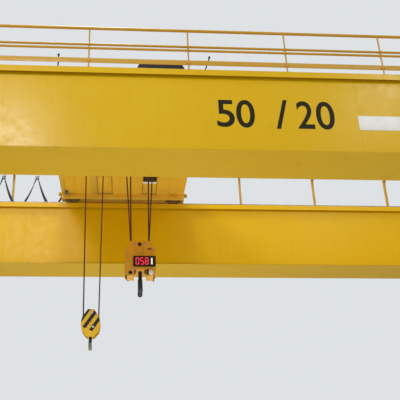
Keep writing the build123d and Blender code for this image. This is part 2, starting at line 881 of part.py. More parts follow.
def sheaveSet(x, z, places, pitchRadius, ropeRadius, width, rim, axleRadius, axleHalf):
    """Sheaves on one axle along Y."""
    group = alongY(axleRadius, -axleHalf, axleHalf, x, z)
    for y in places:
        group += sheave(x, y, z, pitchRadius, ropeRadius, width, rim, axleRadius)
    return group


export_step(sheaveSet(mainX, mainUpperZ, (-mainSheavePitch / 2, mainSheavePitch / 2), mainUpperPitchRadius,
                      mainRopeRadius, mainSheaveWidth, mainSheaveRim, mainAxleRadius, mainStringerY),
            "parts/main_upper_sheaves.step")
export_step(sheaveSet(auxX, auxUpperZ, (0,), auxUpperPitchRadius, auxRopeRadius, auxSheaveWidth, auxSheaveRim,
                      auxAxleRadius, auxStringerY), "parts/aux_upper_sheaves.step")


# Ropes: each fall runs from a lower sheave to an upper sheave or to the drum


def ropeFall(x, side, lowY, highY, lowZ, highZ, lowRadius, highRadius, ropeRadius):
    """Straight fall that leaves both pitch circles as a tangent."""
    lean = math.asin((highRadius - lowRadius) / (highZ - lowZ))
    start = (x + side * lowRadius * math.cos(lean), lowY, lowZ - lowRadius * math.sin(lean))
    end = (x + side * highRadius * math.cos(lean), highY, highZ - highRadius * math.sin(lean))
    return rodBetween(start, end, ropeRadius)


mainToDrum = (mainAxleZ, mainDrumZ, mainPitchRadius, mainDrumPitchRadius, mainRopeRadius)
mainToSheave = (mainAxleZ, mainUpperZ, mainPitchRadius, mainUpperPitchRadius, mainRopeRadius)
mainFalls = [
    ropeFall(mainX, -1, -mainSheavePitch, -mainSheavePitch, *mainToDrum),
    ropeFall(mainX, 1, -mainSheavePitch, -mainSheavePitch / 2, *mainToSheave),
    ropeFall(mainX, -1, 0, -mainSheavePitch / 2, *mainToSheave),
    ropeFall(mainX, 1, 0, mainSheavePitch / 2, *mainToSheave),
    ropeFall(mainX, -1, mainSheavePitch, mainSheavePitch / 2, *mainToSheave),
    ropeFall(mainX, 1, mainSheavePitch, mainSheavePitch, *mainToDrum),
]
auxToDrum = (auxAxleZ, auxDrumZ, auxPitchRadius, auxDrumPitchRadius, auxRopeRadius)
auxToSheave = (auxAxleZ, auxUpperZ, auxPitchRadius, auxUpperPitchRadius, auxRopeRadius)
auxFalls = [
    ropeFall(auxX, -1, -auxSheavePitch / 2, -auxSheavePitch / 2, *auxToDrum),
    ropeFall(auxX, 1, -auxSheavePitch / 2, 0, *auxToSheave),
    ropeFall(auxX, -1, auxSheavePitch / 2, 0, *auxToSheave),
    ropeFall(auxX, 1, auxSheavePitch / 2, auxSheavePitch / 2, *auxToDrum),
]
export_step(Compound(children=mainFalls), "parts/main_ropes.step")
export_step(Compound(children=auxFalls), "parts/aux_ropes.step")


# Main hook block

mainPlateInner = mainSheavePitch + mainSheaveWidth / 2 + sheaveSideGap
mainPlateOuter = mainPlateInner + mainPlateThickness


def mainHousing():
    right = [
        (mainBlockTopHalf, mainBlockTop),
        (mainBlockHalf, mainShoulderZ),
        (mainBlockHalf, mainBlockBottom + mainBlockChamfer),
        (mainBlockHalf - mainBlockChamfer, mainBlockBottom),
        (mainNotchHalf, mainBlockBottom),
        (mainNotchHalf, mainNotchTop),
    ]
    outline = [(mainX + a, mainAxleZ + b) for a, b in right]
    outline += [(mainX - a, mainAxleZ + b) for a, b in reversed(right)]
    housing = plateXZ(outline, -mainPlateOuter, -mainPlateInner)
    housing += plateXZ(outline, mainPlateInner, mainPlateOuter)
    for side in (-1, 1):
        a = mainX + side * (mainBlockHalf - mainWall)
        b = mainX + side * mainBlockHalf
        housing += block(min(a, b), max(a, b), -mainPlateInner, mainPlateInner,
                         mainAxleZ + mainBlockBottom + mainBlockChamfer, mainAxleZ + mainShoulderZ)
        c = mainX + side * mainNotchHalf
        d = mainX + side * (mainBlockHalf - mainBlockChamfer)
        housing += block(min(c, d), max(c, d), -mainPlateInner, mainPlateInner,
                         mainAxleZ + mainBlockBottom, mainAxleZ + mainBlockBottom + mainWall)
        e = mainX + side * (mainNotchHalf + mainWall)
        housing += block(min(c, e), max(c, e), -mainPlateInner, mainPlateInner,
                         mainAxleZ + mainBlockBottom, mainAxleZ + mainNotchTop)
    crosshead = block(mainX - mainCrossheadHalf, mainX + mainCrossheadHalf, -mainPlateInner, mainPlateInner,
                      mainAxleZ + mainNotchTop, mainAxleZ + mainCrossheadTop)
    crosshead -= alongZ(mainShankRadius + swivelGap, mainAxleZ + mainNotchTop - 1,
                        mainAxleZ + mainCrossheadTop + 1, mainX, 0)
    return housing + crosshead


export_step(mainHousing(), "parts/main_block_housing.step")
export_step(sheaveSet(mainX, mainAxleZ, (-mainSheavePitch, 0, mainSheavePitch), mainPitchRadius,
                      mainRopeRadius, mainSheaveWidth, mainSheaveRim, mainAxleRadius, mainPlateInner),
            "parts/main_block_sheaves.step")

export_step(block(mainX + displayLeft, mainX + displayLeft + displayWidth, -mainPlateOuter - displayDepth,
                  -mainPlateOuter, mainAxleZ + displayTop - displayHeight, mainAxleZ + displayTop),
            "parts/load_display.step")


# Main hook: a double hook whose horns lie along Y


def doubleHook():
    bowlZ = mainAxleZ + mainHookBowlZ
    nutBottom = mainAxleZ + mainCrossheadTop + seatGap
    hook = alongZ(mainNutRadius, nutBottom, nutBottom + mainNutHeight, mainX, 0)
    hook += alongZ(mainShankRadius, bowlZ + mainNeckHeight / 2, nutBottom, mainX, 0)
    root = mainHookBowlY - mainHookInner
    neck = [(-mainNeckHalf, bowlZ + mainNeckHeight), (mainNeckHalf, bowlZ + mainNeckHeight), (root, bowlZ),
            (-root, bowlZ)]
    hook += plateYZ(neck, mainX - mainHookHalf, mainX + mainHookHalf)
    for side in (-1, 1):
        y = side * mainHookBowlY
        ring = alongX(mainHookOuter, mainX - mainHookHalf, mainX + mainHookHalf, y, bowlZ)
        ring -= block(mainX - mainHookOuter, mainX + mainHookOuter, y - mainHookOuter, y + mainHookOuter,
                      bowlZ, bowlZ + mainHookOuter)
        hook += ring
        near = side * (mainHookBowlY + mainHookInner)
        far = side * (mainHookBowlY + mainHookOuter)
        width = far - near
        tip = [
            (near, bowlZ),
            (far, bowlZ),
            (far - width * 0.22, bowlZ + mainTipHeight * 0.75),
            (far - width * 0.56, bowlZ + mainTipHeight),
            (near + width * 0.06, bowlZ + mainTipHeight * 0.6),
        ]
        hook += plateYZ(tip, mainX - mainHookHalf, mainX + mainHookHalf)
    for side in (-1, 1):
        hook -= alongX(mainHookInner, mainX - mainHookOuter, mainX + mainHookOuter,
                       side * mainHookBowlY, bowlZ)
    return hook


export_step(doubleHook(), "parts/main_hook.step")


# Auxiliary hook block

auxPlateInner = auxSheavePitch / 2 + auxSheaveWidth / 2 + sheaveSideGap
auxPlateOuter = auxPlateInner + auxPlateThickness


def auxHousing():
    right = [
        (auxBlockTopHalf, auxBlockTop),
        (auxShoulderHalf, auxShoulderZ),
        (auxBlockHalf, auxBlockWaist),
        (auxBlockHalf, -auxBlockWaist),
        (auxHipHalf, auxHipZ),
        (auxBlockBottomHalf + auxBlockChamferX, auxBlockBottom + auxBlockChamferZ),
        (auxBlockBottomHalf, auxBlockBottom),
    ]
    outline = [(auxX + a, auxAxleZ + b) for a, b in right]
    outline += [(auxX - a, auxAxleZ + b) for a, b in reversed(right)]
    housing = plateXZ(outline, -auxPlateOuter, -auxPlateInner)
    housing += plateXZ(outline, auxPlateInner, auxPlateOuter)
    crosshead = block(auxX - auxCrossheadHalf, auxX + auxCrossheadHalf, -auxPlateInner, auxPlateInner,
                      auxAxleZ + auxCrossheadBottom, auxAxleZ + auxCrossheadTop)
    crosshead -= alongZ(auxShankRadius + swivelGap, auxAxleZ + auxBlockBottom, auxAxleZ, auxX, 0)
    spreader = alongY(auxSpreaderRadius, -auxPlateInner, auxPlateInner, auxX,
                      auxAxleZ + auxBlockTop - auxSpreaderDrop)
    return housing + crosshead + spreader


export_step(auxHousing(), "parts/aux_block_housing.step")
export_step(sheaveSet(auxX, auxAxleZ, (-auxSheavePitch / 2, auxSheavePitch / 2), auxPitchRadius,
                      auxRopeRadius, auxSheaveWidth, auxSheaveRim, auxAxleRadius, auxPlateInner),
            "parts/aux_block_sheaves.step")


# Auxiliary hook: a single hook that opens towards +Y


def singleHook():
    bowlZ = auxAxleZ + auxHookBowlZ
    nutBottom = auxAxleZ + auxCrossheadTop + seatGap
    hook = alongZ(auxNutRadius, nutBottom, nutBottom + auxNutHeight, auxX, 0)
    ring = alongX(auxHookOuter, auxX - auxHookHalf, auxX + auxHookHalf, 0, bowlZ)
    ring -= alongX(auxHookInner, auxX - auxHookOuter, auxX + auxHookOuter, 0, bowlZ)
    reach = auxHookOuter * 2
    mouth = [(0, bowlZ)]
    for angle in auxMouthAngles:
        a = math.radians(angle)
        mouth.append((reach * math.cos(a), bowlZ + reach * math.sin(a)))
    ring -= plateYZ(mouth, auxX - auxHookOuter, auxX + auxHookOuter)
    hook += ring
    shankBottom = bowlZ + (auxHookInner + auxHookOuter) / 2
    hook += alongZ(auxShankRadius, shankBottom, nutBottom, auxX, 0)
    return hook


export_step(singleHook(), "parts/aux_hook.step")
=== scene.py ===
import json
import math

import bmesh
import bpy
from mathutils import Matrix, Vector

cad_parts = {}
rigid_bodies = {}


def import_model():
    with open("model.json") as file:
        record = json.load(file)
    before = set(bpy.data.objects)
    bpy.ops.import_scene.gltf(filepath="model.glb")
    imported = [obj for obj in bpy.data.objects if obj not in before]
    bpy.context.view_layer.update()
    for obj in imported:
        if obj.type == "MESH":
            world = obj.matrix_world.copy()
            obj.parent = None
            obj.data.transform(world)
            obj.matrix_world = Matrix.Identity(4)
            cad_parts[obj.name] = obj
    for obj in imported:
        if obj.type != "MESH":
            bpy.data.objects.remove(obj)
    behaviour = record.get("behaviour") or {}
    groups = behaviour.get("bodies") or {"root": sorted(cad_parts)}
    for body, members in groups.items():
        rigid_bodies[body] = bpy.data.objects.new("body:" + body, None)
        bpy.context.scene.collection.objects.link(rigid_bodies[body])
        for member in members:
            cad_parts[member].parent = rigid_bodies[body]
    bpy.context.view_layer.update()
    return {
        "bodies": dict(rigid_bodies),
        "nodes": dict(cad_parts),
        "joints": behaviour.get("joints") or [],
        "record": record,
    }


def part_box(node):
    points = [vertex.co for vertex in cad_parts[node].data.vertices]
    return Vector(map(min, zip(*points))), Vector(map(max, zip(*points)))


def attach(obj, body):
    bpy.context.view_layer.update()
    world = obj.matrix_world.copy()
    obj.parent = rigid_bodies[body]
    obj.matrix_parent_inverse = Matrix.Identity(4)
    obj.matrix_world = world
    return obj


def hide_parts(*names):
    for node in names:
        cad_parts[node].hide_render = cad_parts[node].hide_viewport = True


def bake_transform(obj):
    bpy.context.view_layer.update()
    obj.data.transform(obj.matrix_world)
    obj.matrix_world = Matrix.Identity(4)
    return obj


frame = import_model()
nodes = frame["nodes"]
scene = bpy.context.scene
scene.view_settings.view_transform = "Standard"
print("frame loaded:", len(nodes), "nodes")


def tone(red, green, blue):
    # a colour as it is seen, 0 to 255, turned into the shader's own scale
    def linear(value):
        share = value / 255
        return share / 12.92 if share <= 0.04045 else ((share + 0.055) / 1.055) ** 2.4
    return (linear(red), linear(green), linear(blue), 1.0)


# Camera: on the hall floor, looking up at the bridge

cameraSet = {
    "place": (10.30, -12.48, -5.49),
    "yaw": 3.41,
    "pitch": 21.50,
    "roll": -0.94,
    "focalPixels": 582.0,
    "imagePixels": 400,
    "axisPixel": (155, 280),
    "sensor": 36.0,
}


def makeCamera():
    s = cameraSet
    yaw = math.radians(s["yaw"])
    pitch = math.radians(s["pitch"])
    roll = math.radians(s["roll"])
    ahead = Vector((math.sin(yaw) * math.cos(pitch), math.cos(yaw) * math.cos(pitch), math.sin(pitch)))
    right = Vector((math.cos(yaw), -math.sin(yaw), 0.0))
    up = right.cross(ahead)
    turnedRight = right * math.cos(roll) + up * math.sin(roll)
    turnedUp = up * math.cos(roll) - right * math.sin(roll)
    data = bpy.data.cameras.new("groundCamera")
    data.sensor_width = s["sensor"]
    data.lens = s["focalPixels"] / s["imagePixels"] * s["sensor"]
    data.shift_x = 0.5 - s["axisPixel"][0] / s["imagePixels"]
    data.shift_y = s["axisPixel"][1] / s["imagePixels"] - 0.5
    data.clip_start = 0.1
    data.clip_end = 400
    camera = bpy.data.objects.new("groundCamera", data)
    turn = Matrix((turnedRight, turnedUp, -ahead)).transposed().to_4x4()
    camera.matrix_world = Matrix.Translation(Vector(s["place"])) @ turn
    scene.collection.objects.link(camera)
    scene.camera = camera


makeCamera()


# Node helpers: a node's values and links are given in one call

finish = {}


def setSockets(tree, node, sockets):
    # a socket takes a plain value, or a link when it is given another node's output
    for label, value in sockets.items():
        if isinstance(value, bpy.types.NodeSocket):
            tree.links.new(value, node.inputs[label])
        else:
            node.inputs[label].default_value = value


def addNode(tree, kind, sockets=None, **settings):
    node = tree.nodes.new("ShaderNode" + kind)
    for label, value in settings.items():
        setattr(node, label, value)
    setSockets(tree, node, sockets or {})
    return node


def addRange(tree, source, low, high, outLow=0.0, outHigh=1.0):
    return addNode(tree, "MapRange", {"Value": source, "From Min": low, "From Max": high, "To Min": outLow,
                                      "To Max": outHigh}).outputs["Result"]


def addMath(tree, kind, first, second, **settings):
    return addNode(tree, "Math", {0: first, 1: second}, operation=kind, **settings).outputs[0]


def addMix(tree, share, first, second):
    return addNode(tree, "Mix", {0: share, 6: first, 7: second}, data_type="RGBA").outputs[2]


def addMask(tree, pattern, low, high, amount):
    # where a pattern rises from low to high, scaled by an amount
    return addMath(tree, "MULTIPLY", addRange(tree, pattern, low, high), amount)


def objectPlace(tree):
    return addNode(tree, "TexCoord").outputs["Object"]


def mappedPlace(tree, **sockets):
    return addNode(tree, "Mapping", {"Vector": objectPlace(tree), **sockets}).outputs["Vector"]


def splitUp(tree, source):
    return addNode(tree, "SeparateXYZ", {0: source}).outputs


def addNoise(tree, scale, detail, stretch=(1, 1, 1), roughness=0.55):
    place = mappedPlace(tree, Scale=stretch)
    return addNode(tree, "TexNoise", {"Vector": place, "Scale": scale, "Detail": detail,
                                      "Roughness": roughness}).outputs[0]


def newMaterial(name):
    material = bpy.data.materials.new(name)
    material.use_nodes = True
    finish[name] = material
    return material.node_tree, material.node_tree.nodes["Principled BSDF"]


# Stage: pale hall floor and pale surroundings, soft light from all round

stageSet = {
    "floorMiddle": 11.0, "floorZ": -7.65, "floorHalf": 90.0, "floorRoughness": 0.8,
    "floorTone": tone(206, 205, 200), "backTone": tone(222, 226, 228),
    "skyTone": tone(255, 252, 246), "groundTone": tone(240, 234, 220),
    "skyStrength": 0.80, "groundStrength": 0.40, "horizon": (-0.6, 0.7),
}


def makeFloor():
    s = stageSet
    bm = bmesh.new()
    bmesh.ops.create_grid(bm, x_segments=1, y_segments=1, size=s["floorHalf"])
    bmesh.ops.translate(bm, vec=(s["floorMiddle"], 0.0, s["floorZ"]), verts=bm.verts)
    mesh = bpy.data.meshes.new("hallFloor")
    bm.to_mesh(mesh)
    bm.free()
    floor = bpy.data.objects.new("hallFloor", mesh)
    scene.collection.objects.link(floor)
    tree, shader = newMaterial("paleFloor")
    setSockets(tree, shader, {"Base Color": s["floorTone"], "Roughness": s["floorRoughness"]})
    mesh.materials.append(finish["paleFloor"])


def makeWorld():
    # soft light that is a little stronger from above, and a plain pale backdrop behind the crane
    s = stageSet
    world = bpy.data.worlds.new("paleHall")
    scene.world = world
    world.use_nodes = True
    tree = world.node_tree
    tree.nodes.clear()
    around = addNode(tree, "TexCoord").outputs["Generated"]
    height = addRange(tree, splitUp(tree, around)["Z"], *s["horizon"])
    light = addNode(tree, "Background", {
        "Color": addMix(tree, height, s["groundTone"], s["skyTone"]),
        "Strength": addRange(tree, height, 0.0, 1.0, s["groundStrength"], s["skyStrength"]),
    })
    back = addNode(tree, "Background", {"Color": s["backTone"], "Strength": 1.0})
    path = addNode(tree, "LightPath").outputs
    seen = addMath(tree, "ADD", path["Is Camera Ray"], path["Is Transmission Ray"])
    seen = addMath(tree, "ADD", seen, path["Is Glossy Ray"], use_clamp=True)
    choose = addNode(tree, "MixShader", {0: seen, 1: light.outputs[0], 2: back.outputs[0]})
    addNode(tree, "OutputWorld", {0: choose.outputs[0]})


lampSet = {
    "frontLeft": {"place": (5.0, -16.3, 9.6), "aim": (8.8, -3.2, 1.2), "size": 3.0, "watts": 870},
    "frontRight": {"place": (23.5, -17.0, 13.9), "aim": (15.5, -3.2, 2.2), "size": 2.5, "watts": 260},
    "skylight": {"place": (9.0, -1.0, 17.0), "aim": (11.0, 1.0, 0.0), "size": 5.0, "watts": 2200},
    "below": {"place": (10.5, 0.6, -7.2), "aim": (10.5, 1.2, 2.9), "size": 7.0, "watts": 310},
}


def makeLamps():
    for name, s in lampSet.items():
        data = bpy.data.lights.new(name, "AREA")
        data.shape = "SQUARE"
        data.size = s["size"]
        data.energy = s["watts"]
        lamp = bpy.data.objects.new(name, data)
        lamp.location = s["place"]
        aim = Vector(s["aim"]) - Vector(s["place"])
        lamp.rotation_euler = aim.to_track_quat("-Z", "Y").to_euler()
        lamp.visible_camera = False
        scene.collection.objects.link(lamp)


makeFloor()
makeWorld()
makeLamps()
print("camera, floor and light ready")


# Shared surface effects, each a node group that gives colours, masks and values

def newGroup(name, inputs, outputs=("Color", "Roughness", "Height")):
    # inputs gives first values; the output named Color is a colour and any other is a number
    group = bpy.data.node_groups.new(name, "ShaderNodeTree")
    for label, value in inputs.items():
        kind = "Color" if isinstance(value, tuple) else "Float"
        socket = group.interface.new_socket(name=label, in_out="INPUT", socket_type="NodeSocket" + kind)
        socket.default_value = value
    for label in outputs:
        kind = "Color" if label == "Color" else "Float"
        group.interface.new_socket(name=label, in_out="OUTPUT", socket_type="NodeSocket" + kind)
    return group, group.nodes.new("NodeGroupInput").outputs, group.nodes.new("NodeGroupOutput")


def makePaintFilm():
    # enamel: broad fading, run-down streaks, dust on what faces up, fine orange peel
    group, enter, leave = newGroup("paintFilm", {
        "Paint": (0.6, 0.4, 0.02, 1), "Faded": (0.7, 0.5, 0.1, 1), "Grime": (0.12, 0.07, 0.03, 1),
        "Fading": 0.5, "Streaks": 0.15, "Dust": 0.4, "Gloss": 0.38})
    broad = addNoise(group, 0.45, 3)
    fine = addNoise(group, 6.0, 5)
    run = addNoise(group, 3.2, 4, stretch=(2.2, 2.2, 0.16))
    fade = addMask(group, broad, 0.38, 0.66, enter["Fading"])
    colour = addMix(group, fade, enter["Paint"], enter["Faded"])
    for pattern, low, high in ((run, 0.52, 0.78), (fine, 0.62, 0.80)):
        colour = addMix(group, addMask(group, pattern, low, high, enter["Streaks"]), colour, enter["Grime"])
    normal = addNode(group, "NewGeometry").outputs["Normal"]
    upward = addRange(group, splitUp(group, normal)["Z"], 0.6, 0.95)
    dusty = addMath(group, "MULTIPLY", addMask(group, fine, 0.35, 0.70, upward), enter["Dust"])
    rough = addMath(group, "ADD", enter["Gloss"], addRange(group, fine, 0.3, 0.7, -0.05, 0.07))
    setSockets(group, leave, {
        "Color": addMix(group, dusty, colour, tone(168, 160, 146)),
        "Roughness": addMath(group, "ADD", rough, addMath(group, "MULTIPLY", dusty, 0.35)),
        "Height": addNoise(group, 260.0, 2),
    })
    return group


def makeEdgeWear():
    # worn edges: where a rounded normal leaves the true one, broken up by noise
    group, enter, leave = newGroup("edgeWear", {"Width": 0.006, "Amount": 0.6}, ["Mask"])
    soft = addNode(group, "Bevel", {"Radius": enter["Width"]}, samples=4).outputs["Normal"]
    true = addNode(group, "NewGeometry").outputs["Normal"]
    match = addNode(group, "VectorMath", {0: soft, 1: true}, operation="DOT_PRODUCT").outputs["Value"]
    edge = addMask(group, addNoise(group, 45.0, 5), 0.40, 0.62, addRange(group, match, 0.995, 0.90))
    setSockets(group, leave, {"Mask": addMath(group, "MULTIPLY", edge, enter["Amount"])})
    return group


def makeMetalGrain():
    # bare steel: drawn grain, dull patches and a breath of rust
    group, enter, leave = newGroup("metalGrain", {
        "Metal": (0.3, 0.29, 0.28, 1), "Dull": (0.14, 0.12, 0.10, 1), "Rust": (0.16, 0.06, 0.02, 1),
        "Dullness": 0.5, "Rusting": 0.2, "Smooth": 0.35})
    patch = addNoise(group, 4.0, 5)
    grain = addNoise(group, 60.0, 3, stretch=(1, 1, 6))
    spot = addNoise(group, 14.0, 6, roughness=0.7)
    dull = addMask(group, patch, 0.35, 0.65, enter["Dullness"])
    rusty = addMask(group, spot, 0.52, 0.72, enter["Rusting"])
    rough = addMath(group, "ADD", enter["Smooth"], addRange(group, grain, 0.3, 0.7, -0.06, 0.10))
    setSockets(group, leave, {
        "Color": addMix(group, rusty, addMix(group, dull, enter["Metal"], enter["Dull"]), enter["Rust"]),
        "Roughness": addMath(group, "ADD", rough, addMath(group, "MULTIPLY", rusty, 0.4)),
        "Height": grain,
    })
    return group


def makeSoftGrain():
    # rubber, cable sheath and moulded plastic: fine grain with a dusty bloom
    group, enter, leave = newGroup("softGrain", {
        "Base": (0.02, 0.02, 0.02, 1), "Bloom": (0.10, 0.10, 0.09, 1), "Blooming": 0.3, "Dullness": 0.6})
    cloud = addNoise(group, 5.0, 5)
    mask = addMask(group, cloud, 0.42, 0.70, enter["Blooming"])
    setSockets(group, leave, {
        "Color": addMix(group, mask, enter["Base"], enter["Bloom"]),
        "Roughness": addMath(group, "ADD", enter["Dullness"], addRange(group, cloud, 0.3, 0.7, -0.06, 0.08)),
        "Height": addNoise(group, 320.0, 3),
    })
    return group


groups = (makePaintFilm(), makeEdgeWear(), makeMetalGrain(), makeSoftGrain())
effects = {group.name: group for group in groups}


def placeEffect(tree, name, **values):
    return addNode(tree, "Group", values, node_tree=effects[name])


def joinSurface(tree, shader, effect, strength, distance, others):
    # an effect's colour, roughness and height go to the shader, unless others gives something else
    out = effect.outputs
    sockets = {"Base Color": out["Color"], "Roughness": out["Roughness"], "Height": out["Height"], **others}
    relief = {"Strength": strength, "Distance": distance, "Height": sockets.pop("Height")}
    bump = addNode(tree, "Bump", relief)
    setSockets(tree, shader, {**sockets, "Normal": bump.outputs["Normal"]})


def enamel(name, paint, faded, fading=0.5, streaks=0.12, dust=0.4, gloss=0.36, wear=0.0, coat=0.0,
           specular=0.3, grime=(92, 66, 38), bare=(88, 84, 80), pattern=None):
    tree, shader = newMaterial(name)
    film = placeEffect(tree, "paintFilm", Paint=tone(*paint), Faded=tone(*faded), Grime=tone(*grime),
                       Fading=fading, Streaks=streaks, Dust=dust, Gloss=gloss)
    colour = pattern(tree, film) if pattern else film.outputs["Color"]
    others = {"Specular IOR Level": specular, "Coat Weight": coat, "Coat Roughness": 0.18}
    if wear:
        mask = placeEffect(tree, "edgeWear", Width=0.006, Amount=wear).outputs["Mask"]
        colour = addMix(tree, mask, colour, tone(*bare))
        others["Metallic"] = mask
    joinSurface(tree, shader, film, 0.06, 0.001, {"Base Color": colour, **others})


def bareSteel(name, metal, dull, dullness=0.5, rusting=0.2, smooth=0.35, shine=0.85, blackAbove=None):
    tree, shader = newMaterial(name)
    grain = placeEffect(tree, "metalGrain", Metal=tone(*metal), Dull=tone(*dull), Dullness=dullness,
                        Rusting=rusting, Smooth=smooth)
    colour = grain.outputs["Color"]
    if blackAbove is not None:
        # blackened over this height, worn bare below it
        ragged = addMath(tree, "MULTIPLY", addNoise(tree, 30.0, 3), 0.02)
        height = addMath(tree, "ADD", splitUp(tree, objectPlace(tree))["Z"], ragged)
        black = addRange(tree, height, blackAbove, blackAbove + 0.012)
        colour = addMix(tree, black, colour, tone(22, 22, 22))
    joinSurface(tree, shader, grain, 0.12, 0.001, {"Base Color": colour, "Metallic": shine})


def softSkin(name, base, bloom, blooming=0.3, dullness=0.6, specular=0.4):
    tree, shader = newMaterial(name)
    grain = placeEffect(tree, "softGrain", Base=tone(*base), Bloom=tone(*bloom), Blooming=blooming,
                        Dullness=dullness)
    joinSurface(tree, shader, grain, 0.15, 0.0006, {"Specular IOR Level": specular})


stripeSet = {"pitch": 0.288, "share": 0.50, "slope": 1.5, "offset": 0.052, "lowest": -0.158, "cut": 0.46,
             "last": -0.30, "centre": (9.595, -1.65), "black": tone(22, 21, 18)}


def hazardStripes(tree, film):
    # black bands that climb to the right across the auxiliary block, with a plain foot
    s = stripeSet
    place = splitUp(tree, objectPlace(tree))
    across = addMath(tree, "SUBTRACT", place["X"], s["centre"][0])
    above = addMath(tree, "SUBTRACT", place["Z"], s["centre"][1])
    along = addMath(tree, "SUBTRACT", above, addMath(tree, "MULTIPLY", across, s["slope"]))
    shifted = addMath(tree, "SUBTRACT", along, s["offset"])
    wave = addMath(tree, "FRACT", addMath(tree, "DIVIDE", shifted, s["pitch"]), 0.0)
    band = addMath(tree, "LESS_THAN", wave, s["share"])
    edge = addMath(tree, "ADD", above, addMath(tree, "MULTIPLY", across, s["cut"]))
    upper = addMath(tree, "MULTIPLY", addMath(tree, "GREATER_THAN", edge, s["lowest"]),
                    addMath(tree, "GREATER_THAN", along, s["last"]))
    return addMix(tree, addMath(tree, "MULTIPLY", band, upper), film.outputs["Color"], s["black"])


chequerSet = {"scale": 28.0, "height": 0.0016}


def chequerPlate(name, paint, faded):
    # deck plate with raised lozenges
    tree, shader = newMaterial(name)
    film = placeEffect(tree, "paintFilm", Paint=tone(*paint), Faded=tone(*faded), Grime=tone(84, 66, 46),
                       Fading=0.5, Streaks=0.2, Dust=0.6, Gloss=0.45)
    place = mappedPlace(tree, Rotation=(0, 0, math.radians(45)), Scale=(1.0, 1.0, 0.0))
    grid = addNode(tree, "TexChecker", {"Vector": place, "Scale": chequerSet["scale"]}).outputs["Fac"]
    joinSurface(tree, shader, film, 0.5, chequerSet["height"], {"Height": grid, "Specular IOR Level": 0.3})


def plainGlow(name, colour, strength):
    tree, shader = newMaterial(name)
    setSockets(tree, shader, {"Base Color": tone(*colour), "Emission Color": tone(*colour),
                              "Emission Strength": strength, "Roughness": 0.4})


def twistedRope(name):
    # slanting bands that read as twisted strands of greased wire
    tree, shader = newMaterial(name)
    grain = placeEffect(tree, "metalGrain", Metal=tone(108, 58, 40), Dull=tone(66, 36, 28), Dullness=0.7,
                        Rusting=0.35, Smooth=0.55)
    place = mappedPlace(tree, Scale=(1.0, 1.0, 0.6))
    lay = addNode(tree, "TexWave", {"Vector": place, "Scale": 26.0}, wave_type="BANDS",
                  bands_direction="DIAGONAL").outputs["Fac"]
    shade = addMix(tree, addRange(tree, lay, 0.0, 0.6, 0.6, 0.0), grain.outputs["Color"], tone(22, 17, 14))
    joinSurface(tree, shader, grain, 0.6, 0.003, {"Base Color": shade, "Height": lay, "Metallic": 0.2})


enamel("girderPaint", (217, 174, 4), (220, 184, 30), fading=0.45, streaks=0.05, dust=0.5, gloss=0.25,
       specular=0.18)
# bottom flanges: a darker copy of the girder paint, painted shade for the girders' undersides
enamel("soffitPaint", (203, 163, 8), (204, 168, 36), streaks=0.10, dust=0.5, specular=0.18)
# rear girder: a brighter, more saturated copy of the girder paint, painted light for the stronger light on
# its face
enamel("rearPaint", (226, 180, 2), (222, 180, 26), fading=0.45, streaks=0.06, dust=0.5, gloss=0.32,
       specular=0.18)
enamel("railPaint", (206, 168, 56), (214, 184, 96), streaks=0.10)
# handrail, festoon posts and their feet: a darker copy of the railing paint, painted shade because they are
# seen against the light
enamel("handrailPaint", (194, 148, 34), (198, 158, 66), streaks=0.10)
enamel("trolleyPaint", (228, 184, 48), (222, 172, 60), gloss=0.42, specular=0.2)
# trolley side beams: a paler copy of the trolley paint, painted light that lifts the shade on their faces
enamel("beamPaint", (242, 198, 64), (232, 186, 74), streaks=0.10, gloss=0.42, specular=0.2)
chequerPlate("deckPlate", (208, 166, 52), (196, 162, 84))
enamel("blockPaint", (234, 168, 40), (224, 170, 68), streaks=0.30, gloss=0.34, wear=0.5, coat=0.1)
enamel("stripedPaint", (232, 186, 20), (226, 184, 50), fading=0.4, streaks=0.15, gloss=0.34, wear=0.5,
       pattern=hazardStripes)
enamel("runwayPaint", (196, 46, 34), (186, 66, 52), streaks=0.18, gloss=0.42, grime=(60, 30, 24))
enamel("machinePaint", (98, 108, 116), (122, 130, 134), fading=0.4, streaks=0.25, gloss=0.42, wear=0.35,
       grime=(40, 36, 32))
enamel("blackEnamel", (24, 25, 27), (38, 39, 41), streaks=0.1, dust=0.5, grime=(70, 64, 56))
enamel("hookPaint", (18, 18, 19), (30, 30, 30), streaks=0.18, dust=0.3, wear=0.8, specular=0.4,
       grime=(40, 34, 28), bare=(110, 106, 100))
bareSteel("railSteel", (150, 144, 138), (96, 82, 70), dullness=0.6, rusting=0.45)
bareSteel("wheelSteel", (136, 132, 128), (80, 74, 70), dullness=0.6, rusting=0.25)
bareSteel("drumSteel", (118, 112, 104), (62, 54, 46), dullness=0.7, smooth=0.42)
bareSteel("sheaveSteel", (92, 86, 80), (48, 42, 38), dullness=0.7, rusting=0.3, smooth=0.45)
bareSteel("zincSteel", (192, 192, 188), (150, 150, 148), rusting=0.05, smooth=0.38, shine=0.55)
bareSteel("hookGrey", (116, 122, 108), (80, 84, 74), rusting=0.15, smooth=0.48, shine=0.4, blackAbove=-2.085)
softSkin("bufferFoam", (204, 160, 62), (186, 150, 84), blooming=0.4, dullness=0.8)
softSkin("bufferRubber", (28, 28, 28), (70, 68, 64), blooming=0.4, dullness=0.7)
softSkin("cableSheath", (18, 19, 21), (40, 40, 40), blooming=0.25, dullness=0.5)
softSkin("letterBlack", (30, 28, 12), (46, 42, 24), blooming=0.4, dullness=0.5, specular=0.15)
softSkin("plateWhite", (236, 238, 238), (220, 220, 216), blooming=0.5, dullness=0.4)
softSkin("seamRed", (120, 58, 30), (96, 52, 32), blooming=0.6)
twistedRope("wireRope")
plainGlow("digitRed", (236, 44, 72), 0.8)
plainGlow("markWhite", (240, 240, 240), 0.4)
print("materials ready:", len(finish))

